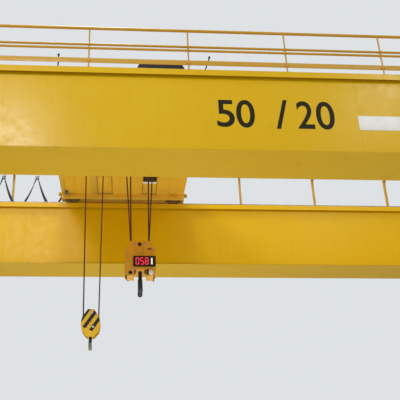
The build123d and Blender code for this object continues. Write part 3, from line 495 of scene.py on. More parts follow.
# the material that each CAD node gets
nodeFinish = {
    "girderPaint": ["front_girder_top_flange", "front_girder_webs",
                    "left_end_carriage", "right_end_carriage", "trolley_stops"],
    # rear girder in brighter paint: painted light
    "rearPaint": ["rear_girder_top_flange", "rear_girder_webs"],
    # bottom flanges in darker paint: painted shade on the undersides
    "soffitPaint": ["front_girder_bottom_flange", "rear_girder_bottom_flange"],
    # handrail and festoon posts in darker paint: painted shade
    "handrailPaint": ["front_handrail", "festoon_posts"],
    "trolleyPaint": ["trolley_cross_beams", "festoon_tow_arm"],
    # side beams in paler paint: painted light
    "beamPaint": ["trolley_side_beams"],
    "deckPlate": ["trolley_deck"],
    "blockPaint": ["main_block_housing"],
    "stripedPaint": ["aux_block_housing"],
    "runwayPaint": ["left_runway_beam", "right_runway_beam", "runway_stops"],
    "railSteel": ["runway_rails", "trolley_rails"],
    "wheelSteel": ["bridge_wheels", "trolley_wheels"],
    "machinePaint": ["bridge_drives", "trolley_drives", "main_hoist_drive", "aux_hoist_drive"],
    "drumSteel": ["main_drum", "aux_drum"],
    "sheaveSteel": ["main_upper_sheaves", "aux_upper_sheaves", "main_block_sheaves", "aux_block_sheaves"],
    "bufferRubber": ["bridge_buffers"],
    "bufferFoam": ["trolley_buffers"],
    "blackEnamel": ["trolley_cabinet", "load_display"],
    "hookPaint": ["main_hook", "aux_hook"],
    "wireRope": ["main_ropes", "aux_ropes"],
    "zincSteel": ["festoon_track"] + sorted(n for n in nodes if n.startswith("festoon_carrier")),
    "cableSheath": ["festoon_cable"],
}
for label, names in nodeFinish.items():
    for name in names:
        mesh = nodes[name].data
        mesh.materials.clear()
        mesh.materials.append(finish[label])


# Tools for new pieces

def newPiece(name, bm, material, body, smoothAngle=35):
    # makes the piece's object, which rides on a body when one is given
    bmesh.ops.recalc_face_normals(bm, faces=bm.faces)
    mesh = bpy.data.meshes.new(name)
    bm.to_mesh(mesh)
    bm.free()
    mesh.polygons.foreach_set("use_smooth", [True] * len(mesh.polygons))
    mesh.set_sharp_from_angle(angle=math.radians(smoothAngle))
    mesh.materials.append(finish[material])
    piece = bpy.data.objects.new(name, mesh)
    scene.collection.objects.link(piece)
    if body:
        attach(piece, body)
    return piece


def newBolts(name, bm, body):
    return newPiece(name, bm, "zincSteel", body)


def bevelEdges(bm, edges, offset, segments=2, clamp=False):
    bmesh.ops.bevel(bm, geom=list(edges), offset=offset, offset_type="OFFSET", affect="EDGES",
                    segments=segments, profile=0.5, material=-1, clamp_overlap=clamp)


def addBox(bm, first, second, bevel=0.0, segments=2):
    # first and second are any two opposite corners
    low = Vector([min(pair) for pair in zip(first, second)])
    high = Vector([max(pair) for pair in zip(first, second)])
    verts = bmesh.ops.create_cube(bm, size=1.0)["verts"]
    bmesh.ops.scale(bm, vec=high - low, verts=verts)
    bmesh.ops.translate(bm, vec=(low + high) / 2, verts=verts)
    if bevel:
        bevelEdges(bm, {edge for vert in verts for edge in vert.link_edges}, bevel, segments, True)


def addRod(bm, start, end, radius, sides=16, endRadius=None):
    # a round bar, tapered where it is given an end radius
    start = Vector(start)
    end = Vector(end)
    reach = end - start
    far = radius if endRadius is None else endRadius
    verts = bmesh.ops.create_cone(bm, cap_ends=True, cap_tris=False, segments=sides, radius1=radius,
                                  radius2=far, depth=reach.length)["verts"]
    turn = reach.to_track_quat("Z", "Y").to_matrix().to_4x4()
    bmesh.ops.transform(bm, matrix=Matrix.Translation((start + end) / 2) @ turn, verts=verts)


def addTurned(bm, profile, centre, axis, steps=40):
    # an outline of (radius, height) points spun round an axis
    axis = Vector(axis).normalized()
    side = axis.orthogonal().normalized()
    centre = Vector(centre)
    before = set(bm.verts)
    verts = [bm.verts.new(centre + side * r + axis * h) for r, h in profile]
    edges = [bm.edges.new(pair) for pair in zip(verts, verts[1:])]
    bmesh.ops.spin(bm, geom=verts + edges, cent=centre, axis=axis, dvec=(0, 0, 0), angle=math.tau,
                   steps=steps, use_merge=True)
    fresh = [v for v in bm.verts if v not in before]
    bmesh.ops.remove_doubles(bm, verts=fresh, dist=0.00002)


def addCurve(bm, curve):
    # turns a curve into faces and lets the curve go
    shape = bpy.data.objects.new("shape", curve)
    mesh = bpy.data.meshes.new_from_object(shape)
    bpy.data.objects.remove(shape)
    bpy.data.curves.remove(curve)
    bm.from_mesh(mesh)
    bpy.data.meshes.remove(mesh)


def addSweep(bm, knots, resolution, sides):
    # a round bar of changing thickness along a smooth line of (place, handle, radius) knots
    curve = bpy.data.curves.new("sweep", "CURVE")
    curve.dimensions = "3D"
    curve.bevel_depth = 1.0
    curve.bevel_resolution = sides
    curve.resolution_u = resolution
    curve.use_fill_caps = True
    line = curve.splines.new("BEZIER")
    line.bezier_points.add(len(knots) - 1)
    for point, (place, handle, radius) in zip(line.bezier_points, knots):
        point.co = place
        point.handle_left = Vector(place) - Vector(handle)
        point.handle_right = Vector(place) + Vector(handle)
        point.radius = radius
    addCurve(bm, curve)


def addHalfTurn(bm, middle, reach, radius, sides, steps, way=1):
    # a round cord bent half way round an axis along Y
    x, y, z = middle
    ring = bmesh.ops.create_circle(bm, cap_ends=False, segments=sides, radius=radius)["verts"]
    edges = list({edge for vert in ring for edge in vert.link_edges})
    bmesh.ops.transform(bm, matrix=Matrix.Translation((x - reach, y, z)), verts=ring)
    bmesh.ops.spin(bm, geom=ring + edges, cent=middle, axis=(0, 1, 0), dvec=(0, 0, 0), angle=math.pi * way,
                   steps=steps)


def addBolts(bm, places, axis, size, washer=True):
    # six-sided heads standing on a face, and their size is a radius and a height
    radius, height = size
    axis = Vector(axis)
    for place in places:
        place = Vector(place)
        if washer:
            addRod(bm, place, place + axis * height * 0.3, radius * 1.7, 12)
        addRod(bm, place, place + axis * height, radius, 6)


def ringPlaces(centre, axis, radius, count, turn=0.0):
    # places evenly round a circle
    axis = Vector(axis).normalized()
    first = axis.orthogonal().normalized()
    second = axis.cross(first)
    angles = [turn + math.tau * i / count for i in range(count)]
    return [Vector(centre) + (first * math.cos(a) + second * math.sin(a)) * radius for a in angles]


def alongRow(first, last, pitch):
    # evenly from first to last, as near to the pitch as goes
    count = max(1, round((last - first) / pitch))
    return [first + (last - first) * i / count for i in range(count + 1)]


def mergePart(bm, part, place):
    # sets a part down in its place and lets it go
    bmesh.ops.transform(part, matrix=place, verts=part.verts)
    mesh = bpy.data.meshes.new("part")
    part.to_mesh(mesh)
    part.free()
    bm.from_mesh(mesh)
    bpy.data.meshes.remove(mesh)


def addPinched(bm, middle, size, crown, bevel):
    # a block whose top is drawn in along X and Y by the crown's two shares
    part = bmesh.new()
    bmesh.ops.create_cube(part, size=1.0)
    bmesh.ops.scale(part, vec=size, verts=part.verts)
    bmesh.ops.scale(part, vec=(*crown, 1), verts=[v for v in part.verts if v.co.z > 0])
    bevelEdges(part, part.edges, bevel)
    mergePart(bm, part, Matrix.Translation(middle))


def frameBars(left, low, right, high, bar):
    # the four bars of a flat frame, each with its own left, low, right and high
    return [(left, low, right, low + bar), (left, high - bar, right, high), (left, low, left + bar, high),
            (right - bar, low, right, high)]


def middleOf(node):
    low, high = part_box(node)
    return (low + high) / 2


def addCap(bm, bolts, centre, axis, radius, thickness, boltCount=6):
    # bearing cap: a stepped round cover held by bolts
    t = thickness
    addTurned(bm, [(radius, 0), (radius, t * 0.45), (radius * 0.94, t * 0.6), (radius * 0.62, t * 0.6),
                   (radius * 0.55, t), (radius * 0.12, t), (0, t * 0.9)], centre, axis, 32)
    face = Vector(centre) + Vector(axis) * t * 0.6
    size = (radius * 0.075, t * 0.35)
    addBolts(bolts, ringPlaces(face, axis, radius * 0.79, boltCount), axis, size, False)


# Girders: weld seams down the webs, and chequer plates to walk on

seamSet = {"plate": 3.5, "bead": 0.0035, "firstPlate": 4.1, "topRoom": 0.12, "endRoom": 2.4}


def girderSeams(name):
    s = seamSet
    low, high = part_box(name + "_girder_webs")
    bm = bmesh.new()
    bottom = low.z + s["bead"]
    for y in (low.y, high.y):
        for x in alongRow(low.x + s["firstPlate"], high.x - s["firstPlate"], s["plate"]):
            addRod(bm, (x, y, bottom), (x, y, high.z - s["topRoom"]), s["bead"], 8)
        addRod(bm, (low.x + s["endRoom"], y, bottom), (high.x - s["endRoom"], y, bottom), s["bead"], 8)
    # the rear girder's seams take its brighter paint, which is painted light
    paint = "rearPaint" if name == "rear" else "girderPaint"
    newPiece(name + "GirderSeams", bm, paint, "bridge")


walkSet = {"pitch": 2.4, "joint": 0.008, "thickness": 0.006, "kerb": 0.11, "railRoom": 0.16, "endRoom": 1.1,
           "boltIn": (0.06, 0.05), "bolt": (0.008, 0.003)}


def walkPlates(name, outward):
    # outward is the side that the walkway lies on, away from the trolley rail
    s = walkSet
    low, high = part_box(name + "_girder_top_flange")
    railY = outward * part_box("trolley_rails")[1].y
    outer = (low.y if outward < 0 else high.y) - outward * s["kerb"]
    near, far = sorted((railY + outward * s["railRoom"], outer))
    top = high.z + s["thickness"]
    inX, inY = s["boltIn"]
    bm = bmesh.new()
    bolts = bmesh.new()
    starts = alongRow(low.x + s["endRoom"], high.x - s["endRoom"], s["pitch"])
    for left, right in zip(starts, starts[1:]):
        addBox(bm, (left + s["joint"], near, high.z), (right - s["joint"], far, top), 0.001, 1)
        places = [(x, y, top) for x in (left + inX, right - inX) for y in (near + inY, far - inY)]
        addBolts(bolts, places, (0, 0, 1), s["bolt"], False)
    newPiece(name + "WalkPlates", bm, "deckPlate", "bridge")
    newBolts(name + "WalkBolts", bolts, "bridge")


for name, outward in (("front", -1), ("rear", 1)):
    girderSeams(name)
    walkPlates(name, outward)


# Handrail and festoon posts: foot plates, bolts and the clips that carry the toe bar

handrailSet = {"pitch": 2.0, "endPost": 0.021, "top": 1.024, "topRadius": 0.030, "postRadius": 0.016,
               "knees": (0.510, 0.604), "kneeRadius": 0.024, "collarHalf": 0.024,
               "toeLow": 0.140, "toeHigh": 0.260, "toeHalf": 0.004, "toeEnd": 0.01,
               "plate": (0.15, 0.075, 0.010), "clipHalf": 0.03, "clipDepth": 0.020, "clipLow": 0.165,
               "clipHigh": 0.235, "clipBolt": 0.2, "clipBoltOut": 0.020, "clipBoltSize": (0.005, 0.006)}


footSet = {"bevel": 0.003, "collarHeight": 0.02, "boltShare": 0.36, "bolt": (0.009, 0.012)}


def addFoot(bm, bolts, x, y, z, plate, collar):
    # a foot plate with two bolts, and a weld collar round a post of the radius given
    s = footSet
    long, wide, thick = plate
    top = z + thick
    addBox(bm, (x - long / 2, y - wide / 2, z), (x + long / 2, y + wide / 2, top), s["bevel"])
    if collar:
        addRod(bm, (x, y, top), (x, y, top + s["collarHeight"]), collar * 1.35, 16, collar * 1.05)
    places = [(x + side * long * s["boltShare"], y, top) for side in (-1, 1)]
    addBolts(bolts, places, (0, 0, 1), s["bolt"])


def handrail():
    s = handrailSet
    low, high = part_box("front_handrail")
    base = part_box("front_girder_top_flange")[1].z
    y = (low.y + high.y) / 2
    top = base + s["top"]
    r = s["topRadius"]
    left = low.x + r
    length = high.x - r - left
    bm = bmesh.new()
    bolts = bmesh.new()
    spots = alongRow(low.x + s["endPost"], high.x - s["endPost"], s["pitch"])
    # rounded ends on the top rail
    rounded = [(0, 0), (r * 0.7, r * 0.12), (r, r * 0.5), (r, length - r * 0.5), (r * 0.7, length - r * 0.12),
               (0, length)]
    addTurned(bm, rounded, (left, y, top), (1, 0, 0), 20)
    for height in s["knees"]:
        addRod(bm, (spots[0], y, base + height), (spots[-1], y, base + height), s["kneeRadius"], 14)
    addBox(bm, (spots[0] - s["toeEnd"], y - s["toeHalf"], base + s["toeLow"]),
           (spots[-1] + s["toeEnd"], y + s["toeHalf"], base + s["toeHigh"]), 0.0015)
    for x in spots:
        addRod(bm, (x, y, base), (x, y, top), s["postRadius"], 18)
        # weld collars where the bars meet the post
        addRod(bm, (x, y, top - r * 1.5), (x, y, top - r * 0.7), s["postRadius"], 18, s["postRadius"] * 1.25)
        for height in s["knees"]:
            place = Vector((x, y, base + height))
            half = Vector((s["collarHalf"], 0, 0))
            addRod(bm, place - half, place + half, s["kneeRadius"] * 1.3, 14)
        addFoot(bm, bolts, x, y, base, s["plate"], s["postRadius"])
        face = y - s["clipDepth"]
        addBox(bm, (x - s["clipHalf"], face, base + s["clipLow"]),
               (x + s["clipHalf"], y - s["toeHalf"], base + s["clipHigh"]), 0.002)
        places = [(x + side * s["clipBoltOut"], face, base + s["clipBolt"]) for side in (-1, 1)]
        addBolts(bolts, places, (0, -1, 0), s["clipBoltSize"], False)
    # the handrail takes the darker paint, which is painted shade
    piece = newPiece("handrail", bm, "handrailPaint", "bridge")
    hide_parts("front_handrail")
    newBolts("handrailBolts", bolts, "bridge")


postFootSet = {"first": -0.04, "pitch": 2.33, "count": 10, "half": 0.03, "plate": (0.20, 0.075, 0.012),
               "gusset": [(0.03, 0.22), (0.18, 0.062)], "gussetRadius": 0.012,
               "trackIn": 0.30, "clampOut": 0.036, "clampHalf": 0.014, "clampLow": 0.072, "clampHigh": 0.059,
               "clampBolt": 0.040, "clampBoltSize": (0.007, 0.008)}


def festoonPostFeet():
    s = postFootSet
    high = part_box("festoon_posts")[1]
    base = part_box("rear_girder_top_flange")[1].z
    y = high.y - s["half"]
    trackY = y - s["trackIn"]
    clampZ = high.z - s["clampLow"]
    bm = bmesh.new()
    bolts = bmesh.new()
    for i in range(s["count"]):
        x = s["first"] + s["pitch"] * i
        addFoot(bm, bolts, x, y, base, s["plate"], 0)
        # gusset under the arm
        ends = [(x, y - inward, high.z - down) for inward, down in s["gusset"]]
        addRod(bm, *ends, s["gussetRadius"], 8)
        # clamps that hold the track up to the arm
        for side in (-1, 1):
            middle = trackY + side * s["clampOut"]
            addBox(bm, (x - s["half"], middle - s["clampHalf"], clampZ),
                   (x + s["half"], middle + s["clampHalf"], high.z - s["clampHigh"]), 0.002, 1)
            place = (x, trackY + side * s["clampBolt"], clampZ)
            addBolts(bolts, [place], (0, 0, -1), s["clampBoltSize"], False)
    # the feet take the handrail's darker paint, which is painted shade
    newPiece("festoonPostFeet", bm, "handrailPaint", "bridge")
    newBolts("festoonPostBolts", bolts, "bridge")


handrail()
festoonPostFeet()
print("girders and handrail dressed")


# Rail clips down both sides of every rail

clipSet = {"length": 0.07, "reach": 0.055, "height": 0.022, "over": 0.012, "boltShare": 0.45,
           "bolt": (0.009, 0.011), "trolleyFoot": 0.10, "trolleyEnd": 0.15, "trolleyPitch": 0.9,
           "runwayFoot": 0.13, "runwayEnd": 0.3, "runwayPitch": 0.8}


def railClips(name, material, body, places, foot, base, alongX):
    # places are (x, y) points on a rail's centre line
    s = clipSet
    half = s["length"] / 2
    top = base + s["height"]
    bm = bmesh.new()
    bolts = bmesh.new()
    for x, y in places:
        for side in (-1, 1):
            near = side * (foot / 2 - s["over"])
            far = side * (foot / 2 + s["reach"])
            hole = side * (foot / 2 + s["reach"] * s["boltShare"])
            if alongX:
                addBox(bm, (x - half, y + near, base), (x + half, y + far, top), 0.004, 1)
                place = (x, y + hole, top)
            else:
                addBox(bm, (x + near, y - half, base), (x + far, y + half, top), 0.004, 1)
                place = (x + hole, y, top)
            addBolts(bolts, [place], (0, 0, 1), s["bolt"])
    newPiece(name, bm, material, body)
    newBolts(name + "Bolts", bolts, body)


def clipRails():
    s = clipSet
    low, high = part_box("trolley_rails")
    foot = s["trolleyFoot"]
    y = high.y - foot / 2
    row = alongRow(low.x + s["trolleyEnd"], high.x - s["trolleyEnd"], s["trolleyPitch"])
    places = [(x, side * y) for x in row for side in (-1, 1)]
    railClips("trolleyRailClips", "girderPaint", "bridge", places, foot, low.z, True)
    low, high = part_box("runway_rails")
    foot = s["runwayFoot"]
    places = [(x, y) for y in alongRow(low.y + s["runwayEnd"], high.y - s["runwayEnd"], s["runwayPitch"])
              for x in (low.x + foot / 2, high.x - foot / 2)]
    railClips("runwayRailClips", "runwayPaint", "runway", places, foot, low.z, False)


clipRails()
print("rails clipped down")


# Capacity figures and the bare label plate on the front web

letterSet = {
    "figures": [("5", 12.105, 12.455, 1.338, 1.975), ("0", 12.490, 12.855, 1.330, 1.985),
                ("/", 13.262, 13.520, 1.318, 2.005), ("2", 13.690, 14.023, 1.332, 1.985),
                ("0", 14.073, 14.438, 1.322, 1.985)],
    "thickness": 0.0015, "bolder": 0.011, "gap": 0.0004,
    "plateLow": (14.905, 1.330), "plateHigh": (16.30, 1.660), "plateThickness": 0.004, "plateSunk": 0.001,
    "rivetIn": 0.03, "rivetRadius": 0.007, "rivetTop": 0.004, "rivetHeight": 0.003,
}


def addFigure(bm, figure, left, right, bottom, top, y):
    # a figure stood up to face the handrail's side, and fitted to its place on the web
    curve = bpy.data.curves.new("figure", "FONT")
    curve.body = figure
    curve.extrude = letterSet["thickness"] / 2
    curve.offset = letterSet["bolder"]
    curve.resolution_u = 6
    part = bmesh.new()
    addCurve(part, curve)
    xs = [v.co.x for v in part.verts]
    ys = [v.co.y for v in part.verts]
    bmesh.ops.translate(part, vec=(-min(xs), -min(ys), 0), verts=part.verts)
    scale = ((right - left) / (max(xs) - min(xs)), (top - bottom) / (max(ys) - min(ys)), 1)
    bmesh.ops.scale(part, vec=scale, verts=part.verts)
    mergePart(bm, part, Matrix.Translation((left, y, bottom)) @ Matrix.Rotation(math.radians(90), 4, "X"))


def capacityFigures():
    s = letterSet
    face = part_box("front_girder_webs")[0].y
    bm = bmesh.new()
    for place in s["figures"]:
        addFigure(bm, *place, face - s["thickness"] / 2 - s["gap"])
    newPiece("capacityFigures", bm, "letterBlack", "bridge")
    left, bottom = s["plateLow"]
    right, top = s["plateHigh"]
    front = face - s["plateThickness"]
    plate = bmesh.new()
    addBox(plate, (left, front, bottom), (right, face + s["plateSunk"], top), 0.0015)
    newPiece("labelPlate", plate, "plateWhite", "bridge")
    rivets = bmesh.new()
    out = front - s["rivetHeight"]
    for x in (left + s["rivetIn"], (left + right) / 2, right - s["rivetIn"]):
        for z in (bottom + s["rivetIn"], top - s["rivetIn"]):
            addRod(rivets, (x, front, z), (x, out, z), s["rivetRadius"], 12, s["rivetTop"])
    newBolts("labelRivets", rivets, "bridge")


capacityFigures()
print("figures and label on the web")


# Machines: finned motors, gearboxes, grooved drums with bearing blocks

# shares of the motor's radius or length, but finThickness and rim are metres
motorSet = {"fins": 32, "finShare": 0.10, "finThickness": 0.006, "cowl": 0.22, "rim": 0.012,
            "box": (0.14, 0.42, 0.20), "boxPlace": 0.4, "boxRise": 1.02, "boxBevel": 0.05}


def addMotor(bm, start, end, radius):
    # a finned motor, built upright from its flange to its fan cowl, then laid in place
    s = motorSet
    start = Vector(start)
    end = Vector(end)
    length = (end - start).length
    part = bmesh.new()
    core = radius * (1 - s["finShare"] * 1.3)
    cowlStart = length * (1 - s["cowl"])
    finLength = cowlStart - radius * 0.22
    addTurned(part, [(0, 0), (radius, 0), (radius, radius * 0.12), (core, radius * 0.16), (core, cowlStart),
                     (radius * 0.99, cowlStart), (radius * 0.99, length - radius * 0.16),
                     (radius * 0.86, length - s["rim"]), (0, length - s["rim"])], (0, 0, 0), (0, 0, 1), 40)
    for i in range(s["fins"]):
        verts = bmesh.ops.create_cube(part, size=1.0)["verts"]
        bmesh.ops.scale(part, vec=(radius * s["finShare"] * 1.6, s["finThickness"], finLength), verts=verts)
        bmesh.ops.translate(part, vec=(radius * (1 - s["finShare"] * 0.9), 0, radius * 0.18 + finLength / 2),
                            verts=verts)
        turn = Matrix.Rotation(math.tau * i / s["fins"], 3, "Z")
        bmesh.ops.rotate(part, cent=(0, 0, 0), matrix=turn, verts=verts)
    addTurned(part, [(0, length - 0.013), (radius * 0.22, length - s["rim"]), (radius * 0.18, length),
                     (0, length)], (0, 0, 0), (0, 0, 1), 20)
    turn = (end - start).to_track_quat("Z", "Y").to_matrix().to_4x4()
    mergePart(bm, part, Matrix.Translation(start) @ turn)
    # terminal box on top
    up = Vector((0, 0, 1))
    ahead = (end - start).normalized()
    across = ahead.cross(up)
    boxLength, boxWidth, boxHeight = s["box"]
    half = ahead * length * boxLength + across * radius * boxWidth + up * radius * boxHeight
    spot = start.lerp(end, s["boxPlace"]) + up * radius * s["boxRise"]
    addBox(bm, spot - half, spot + half, radius * s["boxBevel"])


# split, inset, flangeIn, ribs, cover and boltEdge are shares of the case, and the rest are metres
gearSet = {"split": 0.55, "inset": (0.03, 0.10), "lidSunk": 0.014, "flange": 0.022, "flangeIn": 0.03,
           "foot": 0.03, "ribs": (0.12, 0.19, 0.04), "ribHalf": 0.009, "ribLow": 0.02,
           "cover": (0.36, 0.28), "coverLow": 0.016, "coverHigh": 0.004,
           "flangeBolts": (0.05, 0.11), "boltEdge": 0.065, "flangeBolt": (0.011, 0.014),
           "footBolts": (0.06, 0.045), "footBolt": (0.014, 0.018)}


def addGearbox(bm, bolts, low, high):
    # cast case: body, bolted split flange, feet, ribs and an inspection cover
    s = gearSet
    low = Vector(low)
    high = Vector(high)
    size = high - low
    insetX, insetY = s["inset"]
    inset = Vector((size.x * insetX, size.y * insetY, 0))
    z = low.z + size.z * s["split"]
    flange = s["flange"]
    addBox(bm, low + inset, high - inset - Vector((0, 0, s["lidSunk"])), min(size) * 0.06, 3)
    edge = size.y * s["flangeIn"]
    addBox(bm, (low.x, low.y + edge, z - flange), (high.x, high.y - edge, z + flange), 0.004)
    footTop = low.z + s["foot"]
    addBox(bm, low, (high.x, high.y, footTop), 0.005)
    ribFirst, ribPitch, ribIn = s["ribs"]
    edge = size.y * ribIn
    half = s["ribHalf"]
    ribLow = low.z + s["ribLow"]
    for x in alongRow(low.x + size.x * ribFirst, high.x - size.x * ribFirst, size.x * ribPitch):
        addBox(bm, (x - half, low.y + edge, ribLow), (x + half, high.y - edge, z), 0.003)
    coverX, coverY = s["cover"]
    addBox(bm, (low.x + size.x * coverX, low.y + size.y * coverY, high.z - s["coverLow"]),
           (low.x + size.x * (1 - coverX), high.y - size.y * coverY, high.z - s["coverHigh"]), 0.003)
    boltIn, boltPitch = s["flangeBolts"]
    edge = size.y * s["boltEdge"]
    places = [(x, y, z + flange) for x in alongRow(low.x + boltIn, high.x - boltIn, boltPitch)
              for y in (low.y + edge, high.y - edge)]
    addBolts(bolts, places, (0, 0, 1), s["flangeBolt"])
    inX, inY = s["footBolts"]
    places = [(x, y, footTop) for x in (low.x + inX, high.x - inX) for y in (low.y + inY, high.y - inY)]
    addBolts(bolts, places, (0, 0, 1), s["footBolt"])


hoistSet = {
    "main": {"drumX": 10.700, "drumZ": 3.690, "barrel": 0.3867, "flange": 0.445, "drumLength": 1.90,
             "flangeWidth": 0.02, "shaft": 0.045, "rope": 0.013, "coils": 16, "firstCoil": 0.100,
             "motorX": 11.360, "motorHeight": 0.330, "motorRadius": 0.210, "motorLength": 0.76,
             "gearHeight": 0.760, "gearDepth": 0.380},
    "aux": {"drumX": 9.595, "drumZ": 3.505, "barrel": 0.2087, "flange": 0.260, "drumLength": 1.30,
            "flangeWidth": 0.02, "shaft": 0.034, "rope": 0.011, "coils": 14, "firstCoil": 0.060,
            "motorX": 9.055, "motorHeight": 0.280, "motorRadius": 0.170, "motorLength": 0.62,
            "gearHeight": 0.620, "gearDepth": 0.320},
}
# places are shares of the motor's length, and width, legOut and legTop are in motor radii
motorFootSet = {"places": (0.30, 0.62), "half": 0.035, "width": 0.85, "thickness": 0.025, "legOut": 0.62,
                "legHalf": (0.02, 0.03), "legTop": 0.55, "boltOut": 0.033, "bolt": (0.010, 0.012)}
# pitch and crest are in rope radii, the half widths of crest and floor in pitches
grooveSet = {"pitch": 2.3, "crest": 0.6, "crestHalf": 0.42, "floorHalf": 0.20, "endRoom": 0.05,
             "coilSides": 8}
pedestalSet = {"gap": 0.025, "thickness": 0.070, "footHalf": 0.153, "footHeight": 0.03, "topHalf": 0.090,
               "bevel": 0.006, "slimmer": 0.016, "boltOut": 0.135, "footBolt": (0.013, 0.018),
               "faceBolt": (0.007, 0.007)}


def motorFeet(bm, bolts, x, y, z, deck, radius):
    # a cross plate on the deck, with a leg up to each side of the motor
    s = motorFootSet
    wide = radius * s["width"]
    top = deck + s["thickness"]
    halfX, halfY = s["legHalf"]
    addBox(bm, (x - wide, y - s["half"], deck), (x + wide, y + s["half"], top), 0.004)
    for side in (-1, 1):
        legX = x + side * s["legOut"] * radius
        legTop = z - radius * s["legTop"]
        addBox(bm, (legX - halfX, y - halfY, deck + 0.02), (legX + halfX, y + halfY, legTop), 0.004)
        addBolts(bolts, [(legX + side * s["boltOut"], y, top)], (0, 0, 1), s["bolt"], False)


def hoistMachine(label):
    s = hoistSet[label]
    low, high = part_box(label + "_hoist_drive")
    deck = low.z
    radius = s["motorRadius"]
    x = s["motorX"]
    z = deck + s["motorHeight"]
    gearEnd = high.y - radius * 0.8
    gearStart = gearEnd - s["gearDepth"]
    length = s["motorLength"]
    bm = bmesh.new()
    bolts = bmesh.new()
    addGearbox(bm, bolts, (low.x, gearStart, deck), (high.x, gearEnd, deck + s["gearHeight"]))
    addMotor(bm, (x, gearStart + 0.04, z), (x, gearStart - length, z), radius)
    for share in motorFootSet["places"]:
        motorFeet(bm, bolts, x, gearStart - length * share, z, deck, radius)
    # brake behind the gearbox, in line with the motor
    brake = radius * 0.7
    addTurned(bm, [(brake * 0.5, -0.03), (brake * 0.5, brake * 0.2), (brake, brake * 0.2),
                   (brake, brake * 0.75), (brake * 0.82, brake * 1.1), (0, brake * 1.1)],
              (x, gearEnd, z), (0, 1, 0), 36)
    # bearing caps on both faces, in line with the drum
    cap = s["gearHeight"] * 0.15
    inset = s["gearDepth"] * 0.10
    for y, way in ((gearEnd - inset, 1), (gearStart + inset, -1)):
        addCap(bm, bolts, (s["drumX"], y, s["drumZ"]), (0, way, 0), cap, 0.035)
    piece = newPiece(label + "HoistDrive", bm, "machinePaint", "trolley")
    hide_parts(label + "_hoist_drive")
    newBolts(label + "HoistBolts", bolts, "trolley")


def ropeDrum(label):
    # grooved barrel between flanges, on two bearing blocks
    s = hoistSet[label]
    groove = grooveSet
    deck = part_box(label + "_drum")[0].z
    x = s["drumX"]
    z = s["drumZ"]
    half = s["drumLength"] / 2
    end = half + s["flangeWidth"]
    pitch = s["rope"] * groove["pitch"]
    floor = s["barrel"]
    crest = floor + s["rope"] * groove["crest"]
    crestHalf = pitch * groove["crestHalf"]
    floorHalf = pitch * groove["floorHalf"]
    profile = [(0, -end), (s["flange"], -end), (s["flange"], -half), (crest, -half)]
    for y in alongRow(-half + groove["endRoom"], half - groove["endRoom"], pitch):
        profile += [(crest, y - crestHalf), (floor, y - floorHalf), (floor, y + floorHalf),
                    (crest, y + crestHalf)]
    profile += [(crest, half), (s["flange"], half), (s["flange"], end), (0, end)]
    bm = bmesh.new()
    addTurned(bm, profile, (x, 0, z), (0, 1, 0), 56)
    piece = newPiece(label + "Drum", bm, "drumSteel", "trolley")
    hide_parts(label + "_drum")
    coils = bmesh.new()
    for side in (-1, 1):
        for i in range(s["coils"]):
            y = side * (s["firstCoil"] + pitch * i)
            addTurned(coils, coilProfile(s), (x, y, z), (0, 1, 0), 56)
    newPiece(label + "DrumCoils", coils, "wireRope", "trolley", 60)
    drumBlocks(label, x, z, deck, end)


def coilProfile(s):
    # closed ring outline of one turn of rope on the barrel
    middle = s["barrel"] + s["rope"]
    sides = grooveSet["coilSides"]
    angles = [math.tau * i / sides for i in range(sides + 1)]
    return [(middle + s["rope"] * math.cos(a), s["rope"] * math.sin(a)) for a in angles]


def drumBlocks(label, x, z, deck, flangeEnd):
    s = pedestalSet
    r = s["topHalf"]
    t = s["thickness"]
    bevel = s["bevel"]
    footTop = deck + s["footHeight"]
    bm = bmesh.new()
    bolts = bmesh.new()
    for side in (-1, 1):
        near = side * (flangeEnd + s["gap"])
        far = near + side * t
        y0, y1 = sorted((near, far))
        middle = (y0 + y1) / 2
        addRod(bm, (x, side * flangeEnd, z), (x, far, z), hoistSet[label]["shaft"], 24)
        addBox(bm, (x - s["footHalf"], y0, deck), (x + s["footHalf"], y1, footTop), 0.004)
        addPinched(bm, (x, middle, (deck + z) / 2), (s["footHalf"] * 1.9, y1 - y0 - s["slimmer"], z - deck),
                   (r / s["footHalf"], 1), bevel)
        addTurned(bm, [(0, 0), (r - bevel, 0), (r, bevel), (r, t - bevel), (r - bevel, t), (0, t)],
                  (x, y0, z), (0, 1, 0), 36)
        places = [(x + dx, middle, footTop) for dx in (-s["boltOut"], s["boltOut"])]
        addBolts(bolts, places, (0, 0, 1), s["footBolt"])
        axis = (0, side, 0)
        addBolts(bolts, ringPlaces((x, far, z), axis, r * 0.75, 6), axis, s["faceBolt"], False)
    newPiece(label + "DrumBlocks", bm, "machinePaint", "trolley")
    newBolts(label + "DrumBolts", bolts, "trolley")


for label in hoistSet:
    ropeDrum(label)
    hoistMachine(label)
print("hoists built")


# Gearmotors on the end carriages and on the trolley

def gearMotor(bm, bolts, face, outward, boxDepth, boxHalf, motorRadius, motorLength):
    # a shaft-mounted gear case against a wheel's bearing, with its motor pointing outward
    face = Vector(face)
    outward = Vector(outward)
    reach = outward * boxDepth
    wide = outward.cross(Vector((0, 0, 1))) * boxHalf
    rise = Vector((0, 0, boxHalf))
    addBox(bm, face - wide - rise, face + reach + wide + rise, boxHalf * 0.18, 3)
    end = face + reach
    flange = 0.016
    neck = 0.022
    addTurned(bm, [(boxHalf * 0.98, -boxDepth * 0.3), (boxHalf * 0.98, flange), (boxHalf * 0.8, neck),
                   (0, neck)], end, outward, 36)
    places = ringPlaces(end + outward * flange, outward, boxHalf * 0.88, 8)
    addBolts(bolts, places, outward, wheelSet["driveBolt"], False)
    addMotor(bm, end + outward * 0.018, end + outward * motorLength, motorRadius)


